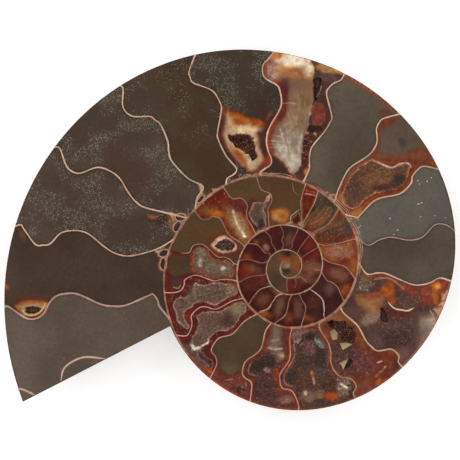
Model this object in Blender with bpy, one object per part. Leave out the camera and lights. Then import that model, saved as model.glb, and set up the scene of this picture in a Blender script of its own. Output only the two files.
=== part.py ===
"""One half of an ammonite, sawn through its middle plane and polished.

The fossil is one stone. It lies on its convex natural side with the polished cut face up and level.
The shell is a spiral of whorls: each turn of the rim is a smaller copy of the turn outside it, and
the outermost turn overlaps the older ones as far as the umbilicus, the hollow in the middle of the
back. The shell ends at its mouth in one straight, nearly radial break.
"""
import bisect
import math

import bmesh
import bpy
from mathutils import Vector

MM = 0.001

# Driving dimensions
THICKNESS = 18.0 * MM                      # cut face down to the resting side
SPIRAL_CENTRE = Vector((18.5, -12.15)) * MM  # from the middle of the outline
MOUTH_ANGLE = math.radians(207.2)          # direction of the break at the mouth
SAW_EDGE = 1.2 * MM                        # straight edge left by the saw all round the rim

# Distance of the rim from the spiral's centre, every 30 degrees from the mouth inwards, over one turn
RIM_STEP = math.radians(30)
RIM_RADII_MM = (97.9, 91.9, 84.9, 77.4, 69.9, 63.8, 59.3, 55.3, 51.8, 49.3, 47.2, 44.9, 43.0)

# Cross-section of a whorl, as parts of its rim radius
WHORLS = 5
CREST = 0.44                               # where the flank is thickest
SHOULDER = 0.31                            # edge of the umbilicus
SEAM = 0.22                                # foot of the umbilical wall
HALF_WIDTH = 21.0 * MM                     # half the whorl's width at the mouth, before it wears flat
WIDTH_DECAY = 0.004                        # inner whorls are narrower by exp(-decay * angle squared)
CORE_DEPTH = 6.0 * MM                      # stone left at the flat bottom of the umbilicus
WEAR = 2.5 * MM                            # rounding where the crest is worn flat to the resting plane

# Mesh density
SPOKES = 60
RINGS_PER_TURN = 10
RINGS = 38
RIM_RINGS = (1.0, 0.996, 0.982, 0.957)     # extra rings that round the rim, outside the first ring
TURN = 2 * math.pi
MOUTH_BLEND = math.radians(5)              # the last whorl's broken edge slopes down over this angle
STONE_COLOUR = (0.115, 0.072, 0.05, 1.0)

# Open crystal hollows in the cut face: x, y, half-length, half-width, depth in mm, direction in degrees
HOLLOWS_MM = (
    (4.0, 28.2, 4.2, 3.2, 3.6, 80),        # in the white calcite above the centre
    (36.6, -34.0, 4.3, 2.4, 3.2, 135),     # lower right
    (-65.8, -26.2, 2.9, 1.3, 2.2, 6),      # lens near the mouth
    (-1.6, -4.8, 3.1, 1.7, 2.2, 12),       # in the olive chamber
    (48.0, 15.2, 6.2, 3.6, 1.5, 25),       # granular hollow, upper right
)


def rim_radius(angle):
    """Rim radius at an angle from the mouth inwards, on a smooth curve through RIM_RADII_MM."""
    place = min(max(angle / RIM_STEP, 0.0), len(RIM_RADII_MM) - 1.0)
    first = min(int(place), len(RIM_RADII_MM) - 2)
    t = place - first
    before, start, end, after = (
        RIM_RADII_MM[min(max(first + k, 0), len(RIM_RADII_MM) - 1)] for k in (-1, 0, 1, 2)
    )
    if first == 0:
        before = 2 * start - end
    if first == len(RIM_RADII_MM) - 2:
        after = 2 * end - start
    slope_in = (end - before) / 2
    slope_out = (after - start) / 2
    curve = (
        (2 * t**3 - 3 * t**2 + 1) * start
        + (t**3 - 2 * t**2 + t) * slope_in
        + (3 * t**2 - 2 * t**3) * end
        + (t**3 - t**2) * slope_out
    )
    return curve * MM


WHORL_RATIO = rim_radius(TURN) / rim_radius(0.0)  # how much smaller the rim is one turn further in


def smooth_step(t):
    t = min(max(t, 0.0), 1.0)
    return t * t * (3 - 2 * t)


def flank_profile(ratio):
    """Share of a whorl's half-width at a share of its rim radius: 1 at the crest, 0 at the rim."""
    if ratio >= 1:
        return 0.0
    if ratio >= CREST:
        return (1 - ((ratio - CREST) / (1 - CREST)) ** 1.9) ** 0.62
    if ratio >= SHOULDER:
        return 1 - 0.10 * ((CREST - ratio) / (CREST - SHOULDER)) ** 2
    return 0.9 * smooth_step((ratio - SEAM) / (SHOULDER - SEAM))


def whorl_depth(angle, radius, turn):
    """Depth of one whorl's flank below the cut face."""
    half_width = HALF_WIDTH * math.exp(-WIDTH_DECAY * (angle + TURN * turn) ** 2)
    return half_width * flank_profile(radius / (rim_radius(angle) * WHORL_RATIO**turn))


def stone_depth(angle, radius, on_rim=False):
    """Depth of the natural surface below the cut face: the deepest whorl, worn flat at the bottom."""
    depth = max(whorl_depth(angle, radius, turn) for turn in range(WHORLS))
    broken_edge = smooth_step((angle - (TURN - MOUTH_BLEND)) / MOUTH_BLEND)
    if broken_edge > 0 and not on_rim:
        depth += max(0.0, whorl_depth(angle, radius, -1) - depth) * broken_edge
    depth = max(depth, CORE_DEPTH * min(1.0, rim_radius(angle) / radius - 1.0), SAW_EDGE)
    if depth > THICKNESS - WEAR:
        worn = min(depth, THICKNESS + WEAR)
        depth = worn - (worn - THICKNESS + WEAR) ** 2 / (4 * WEAR)
    return depth


def place(angle, radius, depth):
    """Point of the stone from its angle inwards from the mouth, its radius and its depth."""
    direction = MOUTH_ANGLE - angle
    return Vector((
        SPIRAL_CENTRE.x + radius * math.cos(direction),
        SPIRAL_CENTRE.y + radius * math.sin(direction),
        THICKNESS - depth,
    ))


def build_stone_mesh():
    """Loft the spiral back between spokes, and close it with the break, the rim and the cut face."""
    mesh = bmesh.new()
    angles = [TURN * spoke / SPOKES for spoke in range(SPOKES + 1)]
    ring_ratio = WHORL_RATIO ** (1 / RINGS_PER_TURN)

    # Corners of the cut face, then the rounded rim below them, for every spoke
    top = [mesh.verts.new(place(angle, rim_radius(angle), 0.0)) for angle in angles]
    rim = []
    for angle in angles:
        outer = rim_radius(angle)
        rim.append([
            mesh.verts.new(place(angle, outer * share, stone_depth(angle, outer * share, on_rim=True)))
            for share in RIM_RINGS
        ])

    # The back in spiral rings. After one turn, ring j lies on ring j + RINGS_PER_TURN, and is joined to it
    back = []
    for spoke, angle in enumerate(angles[:-1]):
        last_ring = RINGS + RINGS_PER_TURN * (spoke == 0)
        back.append([
            mesh.verts.new(place(angle, radius, stone_depth(angle, radius)))
            for radius in (rim_radius(angle) * ring_ratio**ring for ring in range(1, last_ring + 1))
        ])
    back.append(back[0][RINGS_PER_TURN:])

    for spoke in range(SPOKES):
        near = [top[spoke]] + rim[spoke] + back[spoke][:RINGS]
        far = [top[spoke + 1]] + rim[spoke + 1] + back[spoke + 1][:RINGS]
        for ring in range(len(near) - 1):
            mesh.faces.new((near[ring], far[ring], far[ring + 1], near[ring + 1]))
    # The flat bottom of the umbilicus lies inside the innermost ring
    mesh.faces.new([column[RINGS - 1] for column in back] + back[0][-2:RINGS - 1:-1])

    # The straight break at the mouth, and the polished cut face
    break_edge = [top[0]] + rim[0] + back[0][:RINGS_PER_TURN + 1]
    mesh.faces.new(break_edge + rim[-1][::-1] + [top[-1]])
    mesh.faces.new(top)
    bmesh.ops.recalc_face_normals(mesh, faces=mesh.faces)
    return mesh


def make_material():
    material = bpy.data.materials.new("fossil_stone")
    material.use_nodes = True
    shader = material.node_tree.nodes["Principled BSDF"]
    shader.inputs["Base Color"].default_value = STONE_COLOUR
    shader.inputs["Roughness"].default_value = 0.25
    shader.inputs["Metallic"].default_value = 0.0
    return material


def make_stone(collection):
    mesh = bpy.data.meshes.new("ammonite_half")
    built = build_stone_mesh()
    built.to_mesh(mesh)
    built.free()
    mesh.materials.append(make_material())
    mesh.shade_smooth()
    mesh.set_sharp_from_angle(angle=math.radians(35))
    stone = bpy.data.objects.new("ammonite_half", mesh)
    collection.objects.link(stone)
    return stone


def make_hollow(index, collection):
    """A flattened ball, with its middle on the cut face, that scoops out one crystal hollow."""
    x, y, half_length, half_width, depth, direction = HOLLOWS_MM[index]
    bpy.ops.mesh.primitive_ico_sphere_add(subdivisions=2, radius=1.0, location=(x * MM, y * MM, THICKNESS))
    hollow = bpy.context.object
    hollow.name = f"hollow_cutter_{index}"
    hollow.scale = (half_length * MM, half_width * MM, depth * MM)
    hollow.rotation_euler = (0, 0, math.radians(direction))
    hollow.display_type = "WIRE"
    hollow.hide_render = True
    for owner in hollow.users_collection:
        owner.objects.unlink(hollow)
    collection.objects.link(hollow)
    return hollow


def main():
    for old in list(bpy.data.objects):
        bpy.data.objects.remove(old)
    parts = bpy.data.collections.new("ammonite_half_fossil")
    cutters = bpy.data.collections.new("cutters")
    bpy.context.scene.collection.children.link(parts)
    bpy.context.scene.collection.children.link(cutters)

    stone = make_stone(parts)
    for index in range(len(HOLLOWS_MM)):
        cut = stone.modifiers.new(f"hollow_{index}", "BOOLEAN")
        cut.operation = "DIFFERENCE"
        cut.solver = "EXACT"
        cut.object = make_hollow(index, cutters)


main()
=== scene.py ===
"""Looks for the ammonite half: polished cut face with chambers, septa and crystals, and natural back."""
import math

import bmesh
import bpy
import numpy as np
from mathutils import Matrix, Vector
from mathutils.geometry import delaunay_2d_cdt
from mathutils.kdtree import KDTree


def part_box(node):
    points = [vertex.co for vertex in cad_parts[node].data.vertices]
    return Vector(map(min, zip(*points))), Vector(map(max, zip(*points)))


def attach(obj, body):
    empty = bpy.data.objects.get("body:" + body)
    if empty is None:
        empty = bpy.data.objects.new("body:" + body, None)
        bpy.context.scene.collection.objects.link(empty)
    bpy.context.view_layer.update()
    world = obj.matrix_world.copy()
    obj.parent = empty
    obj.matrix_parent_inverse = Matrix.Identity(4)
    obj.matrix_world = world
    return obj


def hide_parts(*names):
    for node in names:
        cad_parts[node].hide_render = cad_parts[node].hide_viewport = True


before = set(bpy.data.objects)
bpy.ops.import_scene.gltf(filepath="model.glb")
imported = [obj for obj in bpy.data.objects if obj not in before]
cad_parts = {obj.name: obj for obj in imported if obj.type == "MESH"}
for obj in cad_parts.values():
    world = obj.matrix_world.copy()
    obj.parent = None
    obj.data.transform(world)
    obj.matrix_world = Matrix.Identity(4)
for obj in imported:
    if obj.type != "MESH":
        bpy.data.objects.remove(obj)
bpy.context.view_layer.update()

# ----------------------------------------------------------------------------- sizes, in millimetres
MM = 0.001
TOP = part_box("ammonite_half")[1][2] / MM          # height of the cut face
CENTRE = (18.5, -12.15)                           # of the spiral, as in the CAD
MOUTH = 207.2                                     # direction of the straight break, in degrees
TURN = 360.0
POLISH = 0.05                                     # the pale walls stand this far proud of the face
FACE = TOP - POLISH
SHEEN = 0.006                                     # light that the polish adds to every colour
WARP = 0.3                                        # how far fine noise shifts the painted edges
FINE, COARSE = 0.29, 0.85                         # point spacing in crystals and in plain mudstone
VIEW_WIDTH = 0.15229                              # of the picture at the cut face, in metres
HALF_WIDTH = 21.0                                 # of the largest whorl, as in the CAD
WIDTH_DECAY = 0.004
CREST, SHOULDER, SEAM = 0.44, 0.31, 0.22
CORE_DEPTH = 6.0
MOUTH_BLEND = 5.0
SAW_EDGE = 1.2
WEAR = 2.5
RIM_SHARES = (1.0, 0.9985, 0.996, 0.990, 0.982, 0.971, 0.957)
SPOKES, RINGS, RINGS_PER_TURN = 480, 152, 40
RIBS_PER_TURN, RIB_DEPTH = 44, 0.5
FACE_EDGE, FACE_FLOOR = 0.3, 5.5                  # face pieces: height of the edge, and hidden depth inside
BACK_GAP = 0.02                                   # between the back and the face pieces that lie on it
ROW = 0.866                                       # spacing of a hexagonal grid's rows, as a share of its step
DISH_STEP, DISH_SLOPE = 4.0, 1.2                  # of the hidden underside of the face pieces
CRYSTAL_SIDES = 5
WARMTH = (0.02, 0.06, 0.08)                       # taken off red, green and blue in the crystal chambers
FLOOR_GLOW = 0.3                                  # keeps the shadows on the floor light
# Lamps: name, place, and power in watts
STUDIO_LIGHTS = (("key", -0.7, 0.7, 5.0), ("fill", 0.7, 0.6, 3.0), ("front", 0.6, -0.8, 3.0),
                 ("side", -0.8, -0.5, 3.0))
LIGHT_HEIGHT, LIGHT_SIZE, SKY_LIGHT = 0.9, 0.8, 0.55
# Bubbles beside the wall: place, half-lengths and direction in degrees
BUBBLES = (((-21.9, -7.7), (1.6, 1.0), 20), ((-22.1, -11.3), (1.95, 0.95), 90), ((-16.4, 4.2), (1.6, 1.1), 5),
           ((-17.5, 1.1), (1.7, 1.0), 60), ((-9.7, 10.3), (1.5, 0.6), 50), ((34.2, 10.8), (1.0, 0.7), -30))
# Chambers of plain mudstone, which need few points, and the round spots in them that need many
PLAIN_CHAMBERS = ("c0", "c1", "c2", "c3", "c4", "c7", "c9", "c10")
FINE_SPOTS = (((-19.7, -3.7), 11.2), ((-9.7, 11.2), 6.6), ((38.2, 7.8), 8.6), ((-68.6, -25.2), 11.9),
              ((-68.6, -1.1), 5.9), ((-25.6, 4.5), 5.3), ((-20.6, 3.6), 5.9), ((-23.0, -16.9), 4.0))
SPIRAL_STEP = 30.0                                # between the entries of the two tables of radii
INNER_START = 370.0                               # the inner whorls' piece starts here along the spiral
WALL_START = 345.0                                # and the wall between whorls here
# Rim radius every 30 degrees from the mouth inwards, over the outermost turn, as in the CAD
RIM_RADII = (97.9, 91.9, 84.9, 77.4, 69.9, 63.8, 59.3, 55.3, 51.8, 49.3, 47.2, 44.9, 43.0)
WHORL_RATIO = RIM_RADII[-1] / RIM_RADII[0]
# Radius of the wall between whorls, every 30 degrees further in
WALL_RADII = (
    42.4, 39.7, 35.6, 32.8, 29.3, 26.8, 25.5, 23.8, 22.6, 21.2, 19.9, 18.2,
    17.2, 15.9, 14.9, 14.2, 13.8, 13.4, 12.6, 12.0, 11.1, 9.9, 9.0, 7.9,
    6.9, 6.3, 5.9, 5.7, 5.6, 5.6, 5.5, 5.2, 4.7, 4.1, 3.5, 2.8, 2.2, 1.7,
)
SPIRAL_RADII = RIM_RADII[:-1] + WALL_RADII
SPIRAL_END = SPIRAL_STEP * (len(SPIRAL_RADII) - 1)

# Septa, the walls between chambers, from the rim side to the centre side. Each is a smooth curve
# through its points. They are listed from the mouth inwards along the spiral.
SEPTA = {
    "s1": ((-74.8, -25.4), (-73.2, -25.5), (-67.4, -29.2), (-63.9, -29.2), (-61.6, -27.5), (-60.3, -24.9),
           (-58.0, -22.2), (-55.2, -21.2), (-50.6, -21.2), (-43.0, -24.5), (-39.2, -25.2), (-34.5, -24.9),
           (-26.9, -21.7), (-25.6, -21.2), (-24.0, -23.2), (-23.3, -25.4), (-21.0, -30.0)),
    "s2": ((-70.7, 1.2), (-69.2, 1.7), (-68.1, 0.1), (-64.5, -4.7), (-61.9, -5.0), (-59.5, -4.5),
           (-55.3, -0.7), (-48.1, -0.7), (-41.8, -5.4), (-38.7, -7.4), (-35.2, -8.5), (-31.1, -8.3),
           (-24.0, -6.2), (-19.0, -3.1)),
    "s3": ((-58.0, 27.5), (-56.3, 26.9), (-54.4, 21.7), (-52.6, 19.6), (-49.7, 18.8), (-45.4, 20.4),
           (-43.1, 20.7), (-40.5, 19.9), (-37.8, 18.3), (-35.8, 16.1), (-33.9, 12.8), (-31.6, 9.8),
           (-28.6, 7.6), (-22.0, 5.9), (-16.7, 5.2)),
    "s4": ((-36.0, 47.6), (-35.4, 46.5), (-35.4, 40.7), (-32.3, 37.7), (-26.6, 37.6), (-24.9, 36.5),
           (-23.0, 34.9), (-20.6, 29.3), (-20.3, 26.0), (-19.1, 22.6), (-14.0, 17.2), (-9.1, 14.6),
           (-9.6, 12.6), (-10.9, 10.6), (-11.9, 7.2)),
    "s5": ((-11.4, 57.8), (-13.5, 52.6), (-13.2, 50.6), (-12.1, 48.7), (-6.0, 46.2), (-3.3, 42.2),
           (-2.9, 39.4), (-4.1, 32.6), (-3.9, 30.0), (-1.3, 24.6), (2.1, 20.4), (1.3, 18.5), (-0.9, 17.1),
           (-1.6, 15.4)),
    "s6": ((14.6, 58.8), (12.9, 56.8), (11.2, 55.1), (10.7, 53.2), (11.2, 50.9), (12.9, 49.4), (14.9, 48.4),
           (16.4, 46.5), (16.9, 41.1), (13.6, 35.0), (12.4, 32.0), (12.1, 29.0), (12.7, 26.0), (13.7, 23.6),
           (13.4, 21.6), (11.4, 20.2), (10.1, 19.1), (10.1, 18.2)),
    "s7": ((37.7, 50.9), (36.7, 49.7), (34.4, 48.6), (32.7, 47.0), (32.0, 44.9), (33.7, 37.7), (33.0, 35.4),
           (31.3, 32.6), (27.3, 27.7), (26.3, 24.3), (26.2, 20.2), (24.6, 17.8)),
    "s8": ((56.0, 38.1), (50.8, 36.9), (49.4, 35.6), (48.5, 33.5), (48.7, 30.8), (48.5, 28.5), (47.0, 25.9),
           (44.6, 23.8), (39.4, 20.2), (36.2, 14.1), (35.2, 10.2)),
    "s9": ((68.9, 19.9), (65.1, 21.0), (63.0, 20.7), (60.5, 17.9), (59.9, 15.4), (56.2, 12.0), (48.4, 10.0),
           (42.6, 4.5), (41.6, 4.3), (39.1, 6.1)),
    "s10": ((74.7, -0.3), (71.5, 1.7), (67.9, 1.7), (64.3, -1.9), (61.8, -3.1), (58.6, -3.3), (53.7, -2.4),
            (51.2, -2.7), (49.1, -3.4), (45.6, -5.0), (41.9, -1.7)),
    "s11": ((72.9, -16.9), (69.5, -15.9), (66.6, -17.3), (63.6, -18.1), (59.9, -17.9), (52.0, -14.6),
            (49.1, -14.2), (45.3, -14.5), (42.6, -10.8)),
    "s13": ((36.8, -25.7), (37.8, -27.7), (42.1, -31.5), (44.9, -36.4), (46.6, -38.4), (48.9, -40.0),
            (53.0, -39.4), (54.7, -40.2), (56.0, -41.9), (55.7, -43.6), (56.5, -44.9)),
    "s14": ((30.0, -30.4), (29.6, -32.5), (32.4, -37.1), (33.4, -40.5), (33.4, -43.9), (34.8, -46.9),
            (36.8, -48.7), (39.2, -49.0), (40.8, -50.0), (41.8, -52.0), (40.8, -53.9), (41.1, -55.4)),
    "s15": ((20.6, -32.7), (19.8, -36.1), (19.8, -42.5), (16.8, -47.3), (16.5, -49.6), (17.3, -52.3),
            (20.6, -53.4), (22.6, -57.6), (22.7, -59.4)),
    "s16": ((13.5, -31.3), (11.7, -33.7), (10.0, -39.6), (5.6, -43.1), (4.5, -44.9), (4.1, -47.6),
            (5.0, -49.0), (6.8, -50.2), (7.2, -52.0), (6.8, -56.1)),
    "s17": ((9.1, -27.6), (4.7, -30.3), (0.8, -34.4), (-3.8, -35.9), (-6.2, -39.7), (-4.8, -42.0),
            (-4.5, -44.7), (-5.3, -47.1)),
    "s18": ((3.8, -23.0), (0.8, -23.5), (-3.3, -25.7), (-5.3, -26.2), (-7.8, -25.5), (-10.1, -25.7),
            (-12.7, -28.2), (-12.6, -30.8), (-13.1, -33.1), (-14.5, -35.0), (-16.2, -33.8)),
    "s19": ((2.0, -17.1), (-0.3, -16.4), (-3.0, -16.4), (-5.6, -16.8), (-11.2, -15.0), (-14.8, -16.4),
            (-15.2, -18.2), (-16.2, -19.9), (-18.3, -20.7), (-20.1, -20.4)),
    "s20": ((3.2, -11.5), (1.3, -11.1), (-0.2, -9.6), (-2.0, -9.0), (-4.4, -8.7), (-8.2, -5.3),
            (-9.8, -4.7), (-11.7, -5.0), (-12.6, -5.8), (-13.6, -7.5), (-16.4, -7.5), (-17.2, -7.0)),
    "s21": ((4.9, -5.6), (3.2, -4.0), (-0.5, -1.4), (-3.1, 3.5), (-5.8, 4.4), (-6.9, 3.7), (-8.6, 3.5),
            (-9.8, 3.9), (-10.7, 5.9)),
    "s22": ((8.4, -1.3), (7.3, 1.2), (5.8, 3.7), (5.5, 5.8), (5.8, 7.8), (5.1, 9.3), (3.5, 10.6),
            (1.3, 10.3), (0.0, 11.1), (-2.0, 13.9)),
    "s23": ((12.9, 1.2), (12.6, 6.9), (13.6, 8.9), (13.9, 10.4), (13.2, 12.1), (10.2, 13.6), (9.1, 16.9)),
    "s25": ((24.6, 13.3), (23.6, 10.5), (23.5, 6.9), (24.3, 0.9)),
    "s26": ((28.8, 12.1), (27.6, 8.3), (24.1, 3.3)),
    "s27": ((35.3, 6.5), (33.9, 3.6), (31.5, 1.2), (26.5, -1.1)),
    "s28": ((40.3, -3.5), (33.0, -5.0), (29.2, -4.4)),
    "s29": ((30.6, -8.8), (33.0, -10.7), (38.3, -12.3), (40.9, -16.2)),
    "s30": ((30.5, -14.0), (32.2, -16.8), (33.5, -17.2), (35.5, -18.8), (36.6, -21.1), (37.1, -23.4)),
    "s31": ((26.6, -19.7), (30.1, -22.5), (30.9, -24.9), (30.7, -28.8)),
    "s32": ((23.1, -21.6), (23.9, -23.2), (25.0, -25.1), (24.9, -27.2), (23.2, -31.1)),
    "s33": ((20.6, -21.9), (19.5, -23.7), (18.3, -28.1), (14.6, -30.6)),
    "s34": ((17.3, -21.2), (15.7, -21.7), (12.3, -26.1), (9.3, -27.2)),
    "s35": ((13.7, -18.9), (11.1, -19.2), (9.0, -20.6), (6.9, -23.9)),
    "s36": ((12.1, -13.3), (11.3, -14.8), (6.7, -15.5), (4.1, -17.0)),
    "s37": ((12.5, -10.2), (10.5, -10.9), (6.2, -9.8), (3.9, -10.2)),
    "s38": ((13.1, -9.0), (13.1, -7.8), (11.5, -7.5), (9.0, -4.9), (6.4, -4.9)),
    "s39": ((14.9, -7.2), (14.9, -6.2), (13.8, -4.4), (13.4, -2.4), (12.1, -1.5)),
    "s40": ((17.0, -6.2), (17.7, -4.9), (17.2, -3.4), (17.7, -1.1), (16.8, 0.1)),
    "s41": ((19.7, -6.2), (20.6, -5.4), (20.7, -3.9), (21.8, -2.4)),
    "s42": ((22.8, -7.4), (23.3, -5.7), (24.2, -4.6)),
    "s43": ((24.0, -9.3), (24.7, -8.4), (27.2, -6.9)),
}

# How septa look: numbers, width and the two colours they vary between. Others follow OUTER_LOOK on the outer
# whorl and INNER_LOOK inside it
SEPTUM_LOOKS = (
    (range(1, 2), 0.6, "#9a7c6a", "#bb9a86"),
    (range(10, 11), 0.32, "#8c7364", "#b89a86"),
    (range(14, 20), 0.34, "#94705e", "#cba78f"),
    (range(36, 44), 0.19, "#6a4438", "#a0786a"),
)
OUTER_LOOK = (0.45, "#ae8a72", "#d8b69c")
INNER_LOOK = (0.25, "#80604e", "#b39079")
# Crystals in the hollows: centre, reach, depth, number, radius and the two colours they vary between
CRYSTAL_BEDS = (
    ((4.0, 28.2), 4.6, 3.2, 70, 0.5, ("#664435", "#7c5848")),
    ((36.6, -34.0), 6.0, 3.0, 120, 0.5, ("#54392e", "#80604c")),
    ((-65.8, -26.2), 2.8, 1.6, 50, 0.26, ("#644a34", "#9a7854")),
    ((-1.6, -4.8), 3.2, 1.8, 60, 0.35, ("#5c4a42", "#8a7468")),
)
# Pointed crystals cut through by the saw: corners, and the colours of the first and last corner. The sand
# colours are the crystals' own; the run from the darker first corner to the lighter last is painted shade
# across each crystal
CUT_CRYSTALS = (
    (((33.0, -33.7), (34.5, -32.8), (35.6, -34.0), (35.4, -36.2), (33.9, -36.4)), "#78644a", "#a08c6e"),
    (((36.3, -37.5), (38.3, -37.3), (40.5, -37.8), (38.6, -39.0), (37.3, -39.7)), "#88744f", "#b09a76"),
    (((36.1, -44.1), (39.1, -42.7), (38.3, -44.5), (37.5, -46.3), (37.0, -44.9)), "#88744f", "#ae9874"),
)
# White flecks in the ninth chamber: place, half-length, width and direction in degrees
FLECKS = (((62.4, 8.6), 0.55, 0.3, 15), ((63.5, 9.0), 0.25, 0.4, 0), ((65.3, 16.1), 0.35, 0.35, 60),
          ((62.7, 15.2), 0.2, 0.3, 0), ((62.2, 16.4), 0.2, 0.35, 30), ((66.7, 17.3), 0.2, 0.3, 70),
          ((67.8, 4.7), 0.2, 0.3, 0), ((63.1, 4.4), 0.3, 0.2, 10), ((53.0, 3.9), 0.25, 0.35, 0),
          ((55.5, 0.0), 0.35, 0.3, 15), ((54.3, -1.5), 0.3, 0.2, 0), ((71.3, 4.1), 0.2, 0.25, 0))
# Broken pieces of other septa: points, width and colour
FRAGMENTS = (
    (((-70.3, -53.2), (-68.9, -52.7), (-64.6, -54.6)), 0.6, "#c09c88"),
    (((-56.0, -50.0), (-55.2, -46.3), (-52.7, -43.9), (-48.1, -42.1), (-41.3, -42.6)), 0.6, "#c4a08a"),
    (((52.3, -23.9), (54.4, -25.9), (57.0, -26.5), (59.0, -26.7), (60.9, -25.8)), 0.5, "#d8b494"),
    (((66.1, -26.4), (67.5, -28.7), (67.8, -30.1)), 0.35, "#a89080"),
    (((23.0, 6.9), (20.3, 4.5), (20.0, 2.7)), 0.3, "#a8846a"),
    (((20.6, 16.0), (21.2, 12.8), (22.6, 11.6)), 0.25, "#7a6040"),
    (((27.1, -19.9), (29.1, -21.4), (30.8, -23.4), (31.2, -26.4), (30.9, -28.4)), 0.3, "#b0a49c"),
    (((13.8, -24.6), (12.6, -26.1), (9.7, -27.0)), 0.35, "#b08a74"),
    (((14.8, -22.4), (16.2, -21.5), (17.6, -21.2)), 0.35, "#b08a74"),
)
HIDDEN_ENDS = {"s20": 4.6}                        # length of a septum that cannot be seen from its outer end
# Width of the wall between whorls, and its two colours, by angle
WALL_WIDTHS = ((345, 400, 640, 760, 1000, SPIRAL_END), (0.4, 0.8, 0.75, 0.5, 0.36, 0.22))
WALL_COLOURS_AT = (360, 700, 900, 1300)
WALL_COLOURS = (("#6e4634", "#7a503c", "#84604a", "#84705a"), ("#b08268", "#b6876c", "#b6957a", "#b4a088"))
# A second layer of wall: start and end angle, distance outwards and width
SECOND_WALL = ((458, 482, 0.75, 0.25), (497, 575, 0.75, 0.3), (503, 560, 1.35, 0.22))

# ----------------------------------------------------------------------------- spiral and curves


def smooth_table(values, place):
    """Values of a table on a smooth curve through its entries; place counts entries from 0."""
    padded = np.array((2 * values[0] - values[1], *values, 2 * values[-1] - values[-2]))
    place = np.clip(place, 0, len(values) - 1 - 1e-9)
    first = np.asarray(place).astype(int)
    t = place - first
    a, b, c, d = (padded[first + k] for k in range(4))
    return 0.5 * (2 * b + (c - a) * t + (2 * a - 5 * b + 4 * c - d) * t**2 + (3 * b - a - 3 * c + d) * t**3)


def rim_radius(angle):
    return smooth_table(RIM_RADII, np.asarray(angle, float) / SPIRAL_STEP)


def wall_radius(angle):
    """Radius of the wall that ends the whorl outside it; over the first turn it is the rim."""
    return smooth_table(SPIRAL_RADII, np.asarray(angle, float) / SPIRAL_STEP)


def polar(angle, radius):
    """Points from angles inwards from the mouth, in degrees, and radii."""
    direction = np.radians(MOUTH - np.asarray(angle, float))
    return np.stack((CENTRE[0] + radius * np.cos(direction), CENTRE[1] + radius * np.sin(direction)), -1)


def winding(point):
    """Angle along the spiral, from the mouth inwards, where its rim or wall passes nearest to a point."""
    dx, dy = point[0] - CENTRE[0], point[1] - CENTRE[1]
    first = (MOUTH - math.degrees(math.atan2(dy, dx))) % TURN
    turns = [first + TURN * k for k in range(4) if first + TURN * k < SPIRAL_END]
    return min(turns, key=lambda angle: abs(float(wall_radius(angle)) - math.hypot(dx, dy)))


def smooth_curve(points, step=0.2):
    """Polyline of about even steps on a smooth curve through the points."""
    points = np.asarray(points, float)
    place = np.linspace(0, len(points) - 1, 24 * len(points))
    fine = np.stack([smooth_table(tuple(points[:, k]), place) for k in range(2)], -1)
    length = np.concatenate(([0], np.cumsum(np.hypot(*np.diff(fine, axis=0).T))))
    even = np.linspace(0, length[-1], max(4, int(length[-1] / step) + 1))
    return np.stack([np.interp(even, length, fine[:, k]) for k in range(2)], -1)


def wall_curve(start, end, step=0.25, radius=wall_radius):
    """Polyline along the wall or the rim between two angles of the spiral."""
    count = max(2, int(abs(end - start) / TURN * 2 * math.pi * float(np.mean(radius((start, end)))) / step))
    angles = np.linspace(start, end, count)
    return polar(angles, radius(angles))


def trimmed_septum(points):
    """A septum's curve, outer end first, with both ends drawn onto the spiral, and their angles."""
    points = [np.array(p, float) for p in points]
    if math.dist(points[0], CENTRE) < math.dist(points[-1], CENTRE):
        points.reverse()
    ends = [winding(points[0]), winding(points[-1])]
    points[0] = polar(ends[0], wall_radius(ends[0]))
    points[-1] = polar(ends[1], wall_radius(ends[1]))
    return smooth_curve(points), ends[0], ends[1]


def chamber_outlines(septa):
    """Closed outline of each chamber, named after the septum on its mouth side: c1 lies between s1 and s2."""
    names = list(septa)
    mouth = (polar((0.0, 0.0), np.array((RIM_RADII[0], RIM_RADII[-1]))), 0.0, TURN)
    outlines = {}
    for name, near, far in zip(["c0"] + ["c" + n[1:] for n in names[:-1]],
                               [mouth] + [septa[n] for n in names[:-1]], [septa[n] for n in names]):
        outlines[name] = np.concatenate((
            near[0], wall_curve(near[2], far[2]), far[0][::-1], wall_curve(far[1], near[1])))
    curve, outer_end, inner_end = septa[names[-1]]
    outlines["c" + names[-1][1:]] = np.concatenate((wall_curve(outer_end, inner_end), curve[::-1]))
    return outlines


def inside(outline, points):
    """True for the points that lie inside a closed outline."""
    result = np.zeros(len(points), bool)
    low, high = outline.min(0), outline.max(0)
    near = np.nonzero(np.all((points >= low) & (points <= high), axis=1))[0]
    x, y = points[near].T
    crossings = np.zeros(len(near), bool)
    for (x0, y0), (x1, y1) in zip(outline, np.roll(outline, -1, axis=0)):
        if y0 != y1:
            crossings ^= ((y0 > y) != (y1 > y)) & (x < (x1 - x0) * (y - y0) / (y1 - y0) + x0)
    result[near] = crossings
    return result


def distance_to(lines, points):
    """Distance from each point to the nearest point of dense polylines."""
    dense = np.concatenate(lines)
    tree = KDTree(len(dense))
    for index, (x, y) in enumerate(dense):
        tree.insert((x, y, 0), index)
    tree.balance()
    return np.array([tree.find((x, y, 0))[2] for x, y in points])


# ----------------------------------------------------------------------------- noise and colour


def lattice(ix, iy, seed):
    """Repeatable random values from 0 to 1 on a square lattice."""
    h = (ix.astype(np.int64) * 374761393 + iy.astype(np.int64) * 668265263 + seed * 1442695041) & 0xFFFFFFFF
    h = ((h ^ (h >> 13)) * 1274126177) & 0xFFFFFFFF
    return ((h ^ (h >> 16)) & 0xFFFFFF) / float(0xFFFFFF)


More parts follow.
